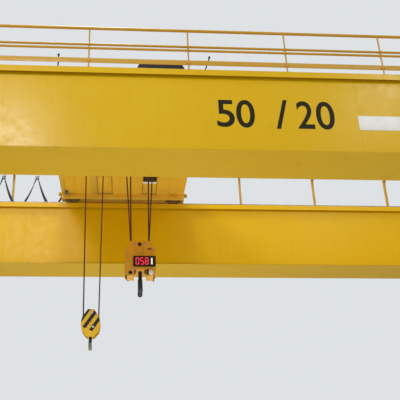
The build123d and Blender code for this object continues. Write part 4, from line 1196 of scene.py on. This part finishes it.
# a drive is its case's depth and half width, then its motor's radius and length
wheelSet = {"span": 22.5, "bridgeBase": 3.4, "bridgeZ": 1.2703, "bridgeHalf": 0.200,
            "bridgeDrive": (0.110, 0.130, 0.1196, 0.480), "bridgeCap": 0.125, "capDepth": 0.05,
            "flushDepth": 0.012, "trolleyX": (8.850, 11.750), "trolleyZ": 2.9053,
            "sideBeamOuter": 2.481, "sideBeamInner": 2.181,
            "trolleyDrive": (0.090, 0.105, 0.0892, 0.340), "trolleyCap": (0.085, 0.035),
            "driveBolt": (0.007, 0.008)}


def wheelDrives(body, mounts):
    # mounts are the faces of the driven wheels' bearings and the way that each one looks
    bm = bmesh.new()
    bolts = bmesh.new()
    for face, outward in mounts:
        gearMotor(bm, bolts, face, outward, *wheelSet[body + "Drive"])
    piece = newPiece(body + "Drives", bm, "machinePaint", body)
    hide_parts(body + "_drives")
    newBolts(body + "DriveBolts", bolts, body)


def wheelCaps():
    # bearing caps outside every wheel that has no drive on it
    s = wheelSet
    bridge = bmesh.new()
    bridgeBolts = bmesh.new()
    for middle, inward in ((0.0, 1), (s["span"], -1)):
        for side in (-1, 1):
            for y in (-s["bridgeBase"], s["bridgeBase"]):
                # the outer caps are nearly flush with the carriage's side
                depth = s["capDepth"] if side == inward else s["flushDepth"]
                if side != inward or y > 0:
                    place = (middle + side * s["bridgeHalf"], y, s["bridgeZ"])
                    addCap(bridge, bridgeBolts, place, (side, 0, 0), s["bridgeCap"], depth)
    newPiece("bridgeWheelCaps", bridge, "girderPaint", "bridge")
    newBolts("bridgeCapBolts", bridgeBolts, "bridge")
    trolley = bmesh.new()
    trolleyBolts = bmesh.new()
    for x in s["trolleyX"]:
        for y, way in ((s["sideBeamOuter"], 1), (-s["sideBeamInner"], 1), (s["sideBeamInner"], -1)):
            addCap(trolley, trolleyBolts, (x, y, s["trolleyZ"]), (0, way, 0), *s["trolleyCap"])
    newPiece("trolleyWheelCaps", trolley, "trolleyPaint", "trolley")
    newBolts("trolleyCapBolts", trolleyBolts, "trolley")


def placeDrives():
    s = wheelSet
    wheelDrives("bridge", [((x, -s["bridgeBase"], s["bridgeZ"]), (inward, 0, 0))
                           for x, inward in ((s["bridgeHalf"], 1), (s["span"] - s["bridgeHalf"], -1))])
    wheelDrives("trolley", [((x, -s["sideBeamOuter"], s["trolleyZ"]), (0, -1, 0)) for x in s["trolleyX"]])


placeDrives()
wheelCaps()


# Buffers: a bolted foot ring behind each one

# bore, rim, chamfer and bolt circle are in buffer radii
ringSet = {"bore": 0.9, "rim": 1.5, "chamfer": 1.42, "boltCircle": 1.25, "edge": 0.010, "thickness": 0.014,
           "bolt": (0.008, 0.008)}


def bufferRings(name, node, body, alongX, radius, length):
    s = ringSet
    bore = radius * s["bore"]
    rim = radius * s["rim"]
    thick = s["thickness"]
    low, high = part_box(node)
    bm = bmesh.new()
    bolts = bmesh.new()
    z = (low.z + high.z) / 2
    for x in (low.x, high.x):
        for y in (low.y, high.y):
            if alongX:
                side = -1 if x == low.x else 1
                place = Vector((x - side * length, math.copysign(abs(y) - radius, y), z))
                axis = Vector((side, 0, 0))
            else:
                side = -1 if y == low.y else 1
                place = Vector((x + (radius if x == low.x else -radius), y - side * length, z))
                axis = Vector((0, side, 0))
            addTurned(bm, [(bore, 0), (rim, 0), (rim, s["edge"]), (radius * s["chamfer"], thick),
                           (bore, thick)], place, axis, 32)
            places = ringPlaces(place + axis * thick, axis, radius * s["boltCircle"], 4, math.pi / 4)
            addBolts(bolts, places, axis, s["bolt"])
    newPiece(name + "Rings", bm, "machinePaint", body)
    newBolts(name + "Bolts", bolts, body)


bufferRings("trolleyBuffer", "trolley_buffers", "trolley", True, 0.060, 0.100)
bufferRings("bridgeBuffer", "bridge_buffers", "bridge", False, 0.070, 0.120)
print("drives, wheel caps and buffers built")


# Ropes: straight falls, and the half turns round the sheaves

ropeSet = {
    "main": {"radius": 0.0155, "lowZ": 0.100, "lowRadius": 0.205, "lowPlaces": (-0.100, 0.0, 0.100),
             "upperZ": 3.015, "upperRadius": 0.225, "upperPlaces": (-0.050, 0.050),
             "drumZ": 3.690, "drumRadius": 0.400,
             "toDrum": [(-1, -0.100, -0.100), (1, 0.100, 0.100)],
             "toUpper": [(1, -0.100, -0.050), (-1, 0.0, -0.050), (1, 0.0, 0.050), (-1, 0.100, 0.050)]},
    "aux": {"radius": 0.012, "lowZ": -1.650, "lowRadius": 0.170, "lowPlaces": (-0.060, 0.060),
            "upperZ": 3.015, "upperRadius": 0.215, "upperPlaces": (0.0,),
            "drumZ": 3.505, "drumRadius": 0.220,
            "toDrum": [(-1, -0.060, -0.060), (1, 0.060, 0.060)],
            "toUpper": [(1, -0.060, 0.0), (-1, 0.060, 0.0)]},
}


def ropeFalls(label, kind, falls, highZ, highRadius):
    # falls are (side, lower Y, upper Y), and each one touches its two wheels on that side
    s = ropeSet[label]
    x = hoistSet[label]["drumX"]
    lean = math.asin((highRadius - s["lowRadius"]) / (highZ - s["lowZ"]))
    bm = bmesh.new()
    for side, lowY, highY in falls:
        lowRadius = s["lowRadius"]
        start = (x + side * lowRadius * math.cos(lean), lowY, s["lowZ"] - lowRadius * math.sin(lean))
        end = (x + side * highRadius * math.cos(lean), highY, highZ - highRadius * math.sin(lean))
        addRod(bm, start, end, s["radius"], 12)
    piece = newPiece(label + kind, bm, "wireRope", None)
    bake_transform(piece)
    return piece


def halfTurns(label, kind, body, way):
    # rope round the far half of each sheave
    s = ropeSet[label]
    bm = bmesh.new()
    for y in s[kind + "Places"]:
        centre = (hoistSet[label]["drumX"], y, s[kind + "Z"])
        addHalfTurn(bm, centre, s[kind + "Radius"], s["radius"], 10, 28, way)
    name = "LowerTurns" if kind == "low" else "UpperTurns"
    newPiece(label + name, bm, "wireRope", body, 60)


for label, s in ropeSet.items():
    drumFalls = ropeFalls(label, "DrumFalls", s["toDrum"], s["drumZ"], s["drumRadius"])
    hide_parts(label + "_ropes")
    ropeFalls(label, "SheaveFalls", s["toUpper"], s["upperZ"], s["upperRadius"])
    halfTurns(label, "low", label + "_block", -1)
    halfTurns(label, "upper", "trolley", 1)
print("ropes reeved")


# Main block: axle cap, straps, bolts, pale sensor and the lit display

mainTrimSet = {"x": 10.700, "axleZ": 0.100, "plateY": 0.160, "half": 0.360, "bossRadius": 0.085,
               "spacers": [(-0.01, 0.165), (-0.225, -0.545)],
               "tubes": [(-0.30, -0.02), (0.30, -0.02), (0.0, 0.20)],
               "tubeRadius": 0.020, "tubeEnd": 0.02,
               "bolts": [(-0.315, -0.10), (-0.315, -0.33), (0.315, 0.02), (-0.28, -0.62), (-0.17, -0.47),
                         (0.18, -0.47), (0.31, -0.62), (-0.13, 0.16), (0.12, 0.18)],
               "marks": [(0.165, 0.052, 0.10, 0.018), (0.165, 0.022, 0.10, 0.014),
                         (-0.07, 0.020, 0.05, 0.016)],
               "markRelief": 0.003, "sensor": (0.245, -0.545), "sensorRadius": 0.056,
               "bracket": (0.150, -0.600, 0.190, -0.470), "bracketRelief": 0.022,
               "boltSize": (0.014, 0.016), "spacerSize": (0.026, 0.024), "capDepth": 0.03,
               "strapWidth": 0.05, "strapIn": 0.012, "strapLength": 0.42, "strapRelief": 0.008}


def mainBlockTrim():
    s = mainTrimSet
    x = s["x"]
    z = s["axleZ"]
    front = -s["plateY"]
    trim = bmesh.new()
    bolts = bmesh.new()
    dark = bmesh.new()
    for side in (-1, 1):
        face = side * s["plateY"]
        axis = (0, side, 0)
        addCap(trim, bolts, (x, face, z), axis, s["bossRadius"], s["capDepth"])
        addBolts(bolts, [(x + dx, face, z + dz) for dx, dz in s["bolts"]], axis, s["boltSize"])
        addBolts(dark, [(x + dx, face, z + dz) for dx, dz in s["spacers"]], axis, s["spacerSize"])
        for edge in (-1, 1):
            outer = x + edge * (s["half"] - s["strapIn"])
            inner = outer - edge * s["strapWidth"]
            relief = side * s["strapRelief"]
            addBox(trim, (inner, face, z - s["strapLength"]), (outer, face + relief, z), 0.003)
    for dx, dz, wide, tall in s["marks"]:
        addBox(dark, (x + dx, front - s["markRelief"], z + dz), (x + dx + wide, front, z + dz + tall), 0.001)
    left, bottom, right, top = s["bracket"]
    addBox(dark, (x + left, front - s["bracketRelief"], z + bottom), (x + right, front, z + top), 0.004)
    # spacer tubes between the plates
    inside = s["plateY"] - s["tubeEnd"]
    for dx, dz in s["tubes"]:
        addRod(trim, (x + dx, -inside, z + dz), (x + dx, inside, z + dz), s["tubeRadius"], 16)
    newPiece("mainBlockTrim", trim, "blockPaint", "main_block")
    newBolts("mainBlockBolts", bolts, "main_block")
    newPiece("mainBlockDark", dark, "blackEnamel", "main_block")
    sensor = bmesh.new()
    dx, dz = s["sensor"]
    r = s["sensorRadius"]
    addTurned(sensor, [(r, 0), (r, 0.030), (r * 0.9, 0.038), (r * 0.6, 0.042), (0, 0.044)],
              (x + dx, front, z + dz), (0, -1, 0), 28)
    newPiece("mainBlockSensor", sensor, "plateWhite", "main_block")


displaySet = {"left": 10.592, "bottom": -0.270, "digitWidth": 0.082, "digitHeight": 0.178, "bar": 0.020,
              "pitch": 0.108, "mark": (10.945, -0.262, 0.040, 0.160), "face": -0.210, "relief": 0.003,
              "figures": "058", "frame": 0.012, "frameRelief": 0.010, "frameSunk": 0.002, "splitRoom": 0.035}
litBars = {"0": (1, 1, 1, 0, 1, 1, 1), "5": (1, 1, 0, 1, 0, 1, 1), "8": (1, 1, 1, 1, 1, 1, 1)}


def loadDigits():
    # bars in the order top, upper left, upper right, middle, lower left, lower right, bottom
    s = displaySet
    w = s["digitWidth"]
    h = s["digitHeight"]
    t = s["bar"]
    gap = t * 0.6
    face = s["face"]
    upper = h / 2 + t * 0.3
    lower = h / 2 - t * 0.3
    shapes = [(gap, h - t, w - gap, h), (0, upper, t, h - gap), (w - t, upper, w, h - gap),
              (gap, (h - t) / 2, w - gap, (h + t) / 2), (0, gap, t, lower), (w - t, gap, w, lower),
              (gap, 0, w - gap, t)]
    bm = bmesh.new()
    for i, figure in enumerate(s["figures"]):
        x = s["left"] + s["pitch"] * i
        for lit, (a, b, c, d) in zip(litBars[figure], shapes):
            if lit:
                addBox(bm, (x + a, face - s["relief"], s["bottom"] + b), (x + c, face, s["bottom"] + d))
    newPiece("displayDigits", bm, "digitRed", "main_block")
    bm = bmesh.new()
    left, bottom, wide, tall = s["mark"]
    addBox(bm, (left, face - s["relief"], bottom), (left + wide, face, bottom + tall), 0.0015)
    newPiece("displayMark", bm, "markWhite", "main_block")
    # raised rim and the bar between the two windows
    low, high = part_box("load_display")
    split = left - s["splitRoom"]
    bars = frameBars(low.x, low.z, high.x, high.z, s["frame"])
    bm = bmesh.new()
    for a, b, c, d in bars + [(split, low.z, split + s["frame"] * 0.7, high.z)]:
        addBox(bm, (a, face - s["frameRelief"], b), (c, face + s["frameSunk"], d), 0.002, 1)
    newPiece("displayRim", bm, "blackEnamel", "main_block")


mainBlockTrim()
loadDigits()


# Auxiliary block: axle cap and bolts

auxTrimSet = {"x": 9.595, "axleZ": -1.650, "plateY": 0.107, "bossRadius": 0.045,
              "capDepth": 0.022, "bolts": [(0.02, 0.245), (0.055, -0.075)], "boltSeat": 0.006,
              "boltSize": (0.015, 0.012),
              "keeper": (-0.075, -0.095, 0.075, -0.055), "keeperRelief": 0.008}


def auxBlockTrim():
    s = auxTrimSet
    x = s["x"]
    z = s["axleZ"]
    left, bottom, right, top = s["keeper"]
    bm = bmesh.new()
    bolts = bmesh.new()
    for side in (-1, 1):
        face = side * s["plateY"]
        axis = (0, side, 0)
        addCap(bm, bolts, (x, face, z), axis, s["bossRadius"], s["capDepth"], 4)
        addBox(bm, (x + left, face, z + bottom), (x + right, face + side * s["keeperRelief"], z + top), 0.003)
        seat = face + side * s["boltSeat"]
        addBolts(bolts, [(x + dx, seat, z + dz) for dx, dz in s["bolts"]], axis, s["boltSize"])
    newPiece("auxBlockTrim", bm, "stripedPaint", "aux_block")
    newBolts("auxBlockBolts", bolts, "aux_block")


auxBlockTrim()
print("blocks dressed")


# Forged hooks: swept bars that thicken at the bowl and taper to the tip

mainHookSet = {
    "x": 10.700, "bowlZ": -0.770, "nutZ": -0.2447, "nutRadius": 0.062, "shank": 0.044, "wider": 1.22,
    "finish": "hookPaint",
    "line": [((0.000, 0.190), (0.0, -0.055), 0.044), ((0.034, 0.010), (0.004, -0.060), 0.046),
             ((0.150, -0.118), (0.066, 0.0), 0.046), ((0.268, 0.0), (0.0, 0.050), 0.036),
             ((0.258, 0.085), (-0.006, 0.020), 0.012)],
    "latch": [(0.040, 0.130), (0.245, 0.062)],
}
auxHookSet = {
    "x": 9.595, "bowlZ": -2.115, "nutZ": -1.8767, "nutRadius": 0.043, "shank": 0.026, "wider": 1.25,
    "finish": "hookGrey",
    "line": [((0.000, 0.200), (0.0, -0.040), 0.028), ((-0.052, 0.080), (-0.028, -0.026), 0.029),
             ((-0.093, 0.0), (0.0, -0.052), 0.029), ((0.0, -0.090), (0.052, 0.0), 0.032),
             ((0.092, 0.0), (0.0, 0.036), 0.025), ((0.086, 0.052), (-0.004, 0.014), 0.009)],
    "latch": [(-0.028, 0.105), (0.078, 0.040)],
}


def addStrap(bm, start, end, wide, thick):
    # a flat strip, wide along X
    start = Vector(start)
    end = Vector(end)
    reach = end - start
    verts = bmesh.ops.create_cube(bm, size=1.0)["verts"]
    bmesh.ops.scale(bm, vec=(wide, thick, reach.length), verts=verts)
    turn = reach.to_track_quat("Z", "X").to_matrix().to_4x4() @ Matrix.Rotation(math.radians(90), 4, "Z")
    bmesh.ops.transform(bm, matrix=Matrix.Translation((start + end) / 2) @ turn, verts=verts)


def forgedHook(name, s, sides, node):
    # the hook's body has the node's own name
    x = s["x"]
    z = s["bowlZ"]
    r = s["shank"]
    nutZ = s["nutZ"]
    bm = bmesh.new()
    latches = bmesh.new()
    for side in sides:
        knots = [((x, side * y, z + dz), (0, side * hy, hz), radius)
                 for (y, dz), (hy, hz), radius in s["line"]]
        addSweep(bm, knots, 10, 6)
        (y0, z0), (y1, z1) = s["latch"]
        y0 *= side
        addStrap(latches, (x, y0, z + z0), (x, side * y1, z + z1), r * 0.7, 0.006)
        addRod(latches, (x - r * 0.5, y0, z + z0), (x + r * 0.5, y0, z + z0), 0.008, 12)
    # a forged bar is thicker across than a round one
    bmesh.ops.translate(bm, vec=(-x, 0, 0), verts=bm.verts)
    bmesh.ops.scale(bm, vec=(s["wider"], 1, 1), verts=bm.verts)
    bmesh.ops.translate(bm, vec=(x, 0, 0), verts=bm.verts)
    piece = newPiece(name, bm, s["finish"], node, 50)
    top = s["line"][0][0][1]
    foot = top - 0.06
    collar = r * 1.22
    shank = bmesh.new()
    addTurned(shank, [(0, foot), (r * 0.9, foot), (collar, top - 0.03), (collar, top + 0.012),
                      (r, top + 0.022), (r, nutZ - z), (0, nutZ - z)], (x, 0, z), (0, 0, 1), 28)
    addRod(shank, (x, 0, nutZ), (x, 0, nutZ + s["nutRadius"] * 0.7), s["nutRadius"], 6)
    newPiece(name + "Shank", shank, "hookPaint", node, 50)
    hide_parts(node)
    newBolts(name + "Latches", latches, node)


forgedHook("mainHook", mainHookSet, (-1, 1), "main_hook")
forgedHook("auxHook", auxHookSet, (1,), "aux_hook")
print("hooks forged")


# Trolley: cabinet doors and lid, slim uprights, underside plates, rope exit box and limit switch

cabinetSet = {"doors": 3, "doorLow": 0.030, "doorHigh": 0.185, "doorGap": 0.018, "relief": 0.006,
              "dots": 9, "dotRadius": 0.017, "dotHeight": 0.290, "dotEnd": 0.10, "handle": (0.04, 0.10),
              "vents": 4, "ventLow": 0.03, "ventPitch": 0.018, "ventHeight": 0.007, "ventEnds": (0.05, 0.17),
              "ventRelief": 0.003, "lid": 0.036, "lidInset": 0.045, "lidEnd": 0.01, "lidSunk": 0.001,
              "crown": (0.93, 0.72), "dotRelief": 0.008, "handleReach": 0.016, "handleRadius": 0.010}


def cabinetTrim():
    s = cabinetSet
    low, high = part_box("trolley_cabinet")
    doors = bmesh.new()
    dots = bmesh.new()
    width = (high.x - low.x) / s["doors"]
    dotPitch = (high.x - low.x - 2 * s["dotEnd"]) / (s["dots"] - 1)
    ventStart, ventEnd = s["ventEnds"]
    handleIn, handleUp = s["handle"]
    for face, side in ((low.y, -1), (high.y, 1)):
        y0, y1 = sorted((face, face + side * s["relief"]))
        for i in range(s["doors"]):
            left = low.x + width * i + s["doorGap"]
            right = low.x + width * (i + 1) - s["doorGap"]
            addBox(doors, (left, y0, low.z + s["doorLow"]), (right, y1, low.z + s["doorHigh"]), 0.002)
            for k in range(s["vents"]):
                z = low.z + s["doorLow"] + s["ventLow"] + s["ventPitch"] * k
                addBox(doors, (left + ventStart, y0 - s["ventRelief"], z),
                       (left + ventEnd, y1 + s["ventRelief"], z + s["ventHeight"]), 0.001, 1)
            handle = Vector((right - handleIn, face + side * s["relief"], low.z + handleUp))
            addRod(dots, handle, handle + Vector((0, side * s["handleReach"], 0)), s["handleRadius"], 12)
        # pale dots on each face: painted highlights, in a pale paint rather than metal so that they show as
        # glints where the cabinet is in shade
        for x in alongRow(low.x + s["dotEnd"], high.x - s["dotEnd"], dotPitch):
            place = Vector((x, face, low.z + s["dotHeight"]))
            end = place + Vector((0, side * s["dotRelief"], 0))
            addRod(dots, place, end, s["dotRadius"], 12, s["dotRadius"] * 0.7)
    middle = middleOf("trolley_cabinet")
    size = (high.x - low.x - 2 * s["lidInset"], high.y - low.y - 2 * s["lidEnd"], s["lid"])
    place = (middle.x, middle.y, high.z + s["lid"] / 2 - s["lidSunk"])
    addPinched(doors, place, size, s["crown"], 0.006)
    newPiece("cabinetDoors", doors, "blackEnamel", "trolley")
    # the dots and door handles in pale paint; the dots are painted highlights
    newPiece("cabinetDots", dots, "railPaint", "trolley")


uprightSet = {"posts": [(8.87, 8.87, 3.80), (12.00, 12.195, 3.83)], "y": -2.331, "radius": 0.015,
              "foot": 0.045, "footThickness": 0.010, "socket": 0.06, "tip": 0.025}


def uprights():
    # slim posts at the trolley's front corners
    s = uprightSet
    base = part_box("trolley_side_beams")[1].z
    y = s["y"]
    foot = s["foot"]
    r = s["radius"]
    bm = bmesh.new()
    for x, lean, top in s["posts"]:
        addBox(bm, (x - foot, y - foot, base), (x + foot, y + foot, base + s["footThickness"]), 0.002)
        addRod(bm, (x, y, base), (x, y, base + s["socket"]), r * 2.0, 16, r * 1.4)
        addRod(bm, (x, y, base), (lean, y, top), r, 12)
        addRod(bm, (lean, y, top), (lean, y, top + s["tip"]), r * 1.7, 12)
    newPiece("uprights", bm, "blackEnamel", "trolley")


bellySet = {"strips": [(9.405, 9.565, 1.195, 2.175), (8.552, 8.680, 0.300, 2.175)], "stripThickness": 0.014,
            "frames": [(9.575, 9.994, 1.215, 2.172), (10.840, 11.240, 1.500, 2.172)],
            "frameBar": 0.014, "frameThickness": 0.008, "coverInset": 0.012, "coverThickness": 0.005,
            "boltIn": 0.03, "boltPitch": 0.28, "bolt": (0.009, 0.008),
            "ribs": [8.95, 11.62], "ribHalf": 0.03, "ribThickness": 0.012, "ribEnds": (0.25, 2.17),
            "box": [(10.845, 1.130, -0.080), (11.215, 1.385, 0.0)], "lipSide": 0.006, "lip": (0.075, 0.016),
            "switch": [(8.655, 2.010, -0.075), (8.740, 2.140, 0.0)], "axleReach": 0.02, "leverY": 0.014,
            "leverReach": (0.03, 0.04)}


def trolleyBelly():
    s = bellySet
    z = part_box("trolley_cross_beams")[0].z
    strip = bmesh.new()
    for x0, x1, y0, y1 in s["strips"]:
        for way in (-1, 1):
            addBox(strip, (x0, way * y0, z - s["stripThickness"]), (x1, way * y1, z), 0.002)
    newPiece("bellyStrips", strip, "railPaint", "trolley")
    frame = bmesh.new()
    covers = bmesh.new()
    bolts = bmesh.new()
    inset = s["frameBar"] + s["coverInset"]
    boltIn = s["boltIn"]
    coverZ = z - s["coverThickness"]
    for x0, x1, y0, y1 in s["frames"]:
        for a, b, c, d in frameBars(x0, y0, x1, y1, s["frameBar"]):
            addBox(frame, (a, b, z - s["frameThickness"]), (c, d, z), 0.001, 1)
        addBox(covers, (x0 + inset, y0 + inset, coverZ), (x1 - inset, y1 - inset, z), 0.002)
        places = [(x, y, coverZ) for x in (x0 + inset + boltIn, x1 - inset - boltIn)
                  for y in alongRow(y0 + inset + boltIn, y1 - inset - boltIn, s["boltPitch"])]
        addBolts(bolts, places, (0, 0, -1), s["bolt"])
    near, far = s["ribEnds"]
    half = s["ribHalf"]
    for x in s["ribs"]:
        for way in (-1, 1):
            addBox(covers, (x - half, way * near, z - s["ribThickness"]), (x + half, way * far, z), 0.003)
    newPiece("bellyFrames", frame, "seamRed", "trolley")
    newPiece("bellyCovers", covers, "trolleyPaint", "trolley")
    newBolts("bellyBolts", bolts, "trolley")
    hung = Vector((0, 0, z))
    low, high = [Vector(corner) + hung for corner in s["box"]]
    box = bmesh.new()
    addBox(box, low, high, 0.006)
    newPiece("ropeBox", box, "blackEnamel", "trolley")
    deep, thick = s["lip"]
    side = s["lipSide"]
    lip = bmesh.new()
    addBox(lip, (low.x - side, high.y - side, low.z), (high.x + side, high.y + deep, low.z + thick), 0.003)
    newPiece("ropeBoxLip", lip, "plateWhite", "trolley")
    # limit switch beside the end strip, with its lever
    low, high = [Vector(corner) + hung for corner in s["switch"]]
    switch = bmesh.new()
    addBox(switch, low, high, 0.006)
    middle = (low + high) / 2
    leverY = low.y - s["leverY"]
    across, down = s["leverReach"]
    addRod(switch, (middle.x, low.y, middle.z), (middle.x, low.y - s["axleReach"], middle.z), 0.012, 16)
    addRod(switch, (middle.x, leverY, middle.z), (middle.x - across, leverY, low.z - down), 0.005, 8)
    newPiece("limitSwitch", switch, "machinePaint", "trolley")


cabinetTrim()
uprights()
trolleyBelly()
print("trolley dressed")


# Festoon: saddles under the carriers and loops of bundled cable

festoonSet = {"strands": [(-0.0315, 0.055, 0.026), (-0.0105, 0.015, 0.008), (0.0105, -0.020, -0.010),
                          (0.0315, -0.060, -0.028)],
              "cableRadius": 0.0108, "sag": 0.955, "bend": 0.036, "belly": 0.17, "drop": 0.040, "tail": 0.034,
              "leave": (0.10, 0.38), "fan": 0.8, "stubShare": 0.86, "stubReach": 0.004,
              "cheek": 0.032, "seatHalf": 0.047, "cheekIn": 0.044, "cheekOut": 0.050,
              "plateLow": 0.004, "plateHigh": 0.012, "bumper": (0.016, 0.010), "bumperIn": 0.049,
              "bumperUp": 0.025}


def cableLoop(name, left, right, topZ, y):
    # side by side at the saddles, each strand hanging a little lower than the next
    s = festoonSet
    middle = (left + right) / 2
    lean, steep = s["leave"]
    bm = bmesh.new()
    for dy, extra, spread in s["strands"]:
        out = lean - spread * s["fan"]
        knots = [((left, y + dy, topZ), (out, 0, -steep), s["cableRadius"]),
                 ((middle, y + dy, topZ - s["sag"] - extra), (s["belly"] + spread, 0, 0), s["cableRadius"]),
                 ((right, y + dy, topZ), (out, 0, steep), s["cableRadius"])]
        addSweep(bm, knots, 14, 2)
    bmesh.ops.remove_doubles(bm, verts=bm.verts, dist=0.00002)
    return newPiece(name, bm, "cableSheath", None, 60)


def saddle(x, y, topZ, owner):
    # round seat under the clamp, with the cables' bend over it and a bumper at each end
    s = festoonSet
    seatZ = topZ - s["drop"]
    plateZ = topZ + s["plateHigh"]
    cheek = s["cheek"]
    out = s["cheekOut"]
    r = s["cableRadius"]
    seat = bmesh.new()
    addRod(seat, (x, y - s["seatHalf"], seatZ), (x, y + s["seatHalf"], seatZ), s["bend"] - r, 28)
    for side in (-1, 1):
        a, b = sorted((y + side * s["cheekIn"], y + side * out))
        addRod(seat, (x, a, seatZ), (x, b, seatZ), cheek, 28)
        addBox(seat, (x - cheek, a, seatZ), (x + cheek, b, plateZ), 0.001, 1)
    addBox(seat, (x - cheek, y - out, topZ + s["plateLow"]), (x + cheek, y + out, plateZ), 0.001, 1)
    newBolts("saddle_" + owner, seat, owner)
    bends = bmesh.new()
    for dy, _, _ in s["strands"]:
        addHalfTurn(bends, (x, y + dy, seatZ), s["bend"], r, 8, 12)
        for side in (-1, 1):
            spot = Vector((x + side * s["bend"], y + dy, seatZ))
            # the lower end slips inside the loop's own end
            addRod(bends, spot - Vector((0, 0, s["tail"] + s["stubReach"])), spot + Vector((0, 0, 0.001)),
                   r * s["stubShare"], 8, r)
    newPiece("cableBend_" + owner, bends, "cableSheath", owner, 60)
    radius, reach = s["bumper"]
    bumperZ = topZ + s["bumperUp"]
    stops = bmesh.new()
    for side in (-1, 1):
        start = (x + side * s["bumperIn"], y, bumperZ)
        addRod(stops, start, (x + side * (out + reach), y, bumperZ), radius, 16, radius * 0.8)
    newPiece("bumper_" + owner, stops, "bufferRubber", owner)


def festoon():
    s = festoonSet
    carriers = sorted(n for n in nodes if n.startswith("festoon_carrier"))
    spots = [middleOf(n).x for n in carriers]
    pitch = spots[1] - spots[0]
    supports = [spots[0] - pitch] + spots + [spots[-1] + pitch]
    owners = ["bridge"] + carriers + ["trolley"]
    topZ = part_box(carriers[0])[0].z
    y = middleOf(carriers[0]).y
    loopZ = topZ - s["drop"] - s["tail"]
    for k in range(len(supports) - 1):
        left = supports[k] + s["bend"]
        right = supports[k + 1] - s["bend"]
        loop = cableLoop(f"cableLoop{k + 1}", left, right, loopZ, y)
        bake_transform(loop)
        if k == 0:
            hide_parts("festoon_cable")
    for x, owner in zip(supports, owners):
        saddle(x, y, topZ, owner)


festoon()
print("festoon hung")
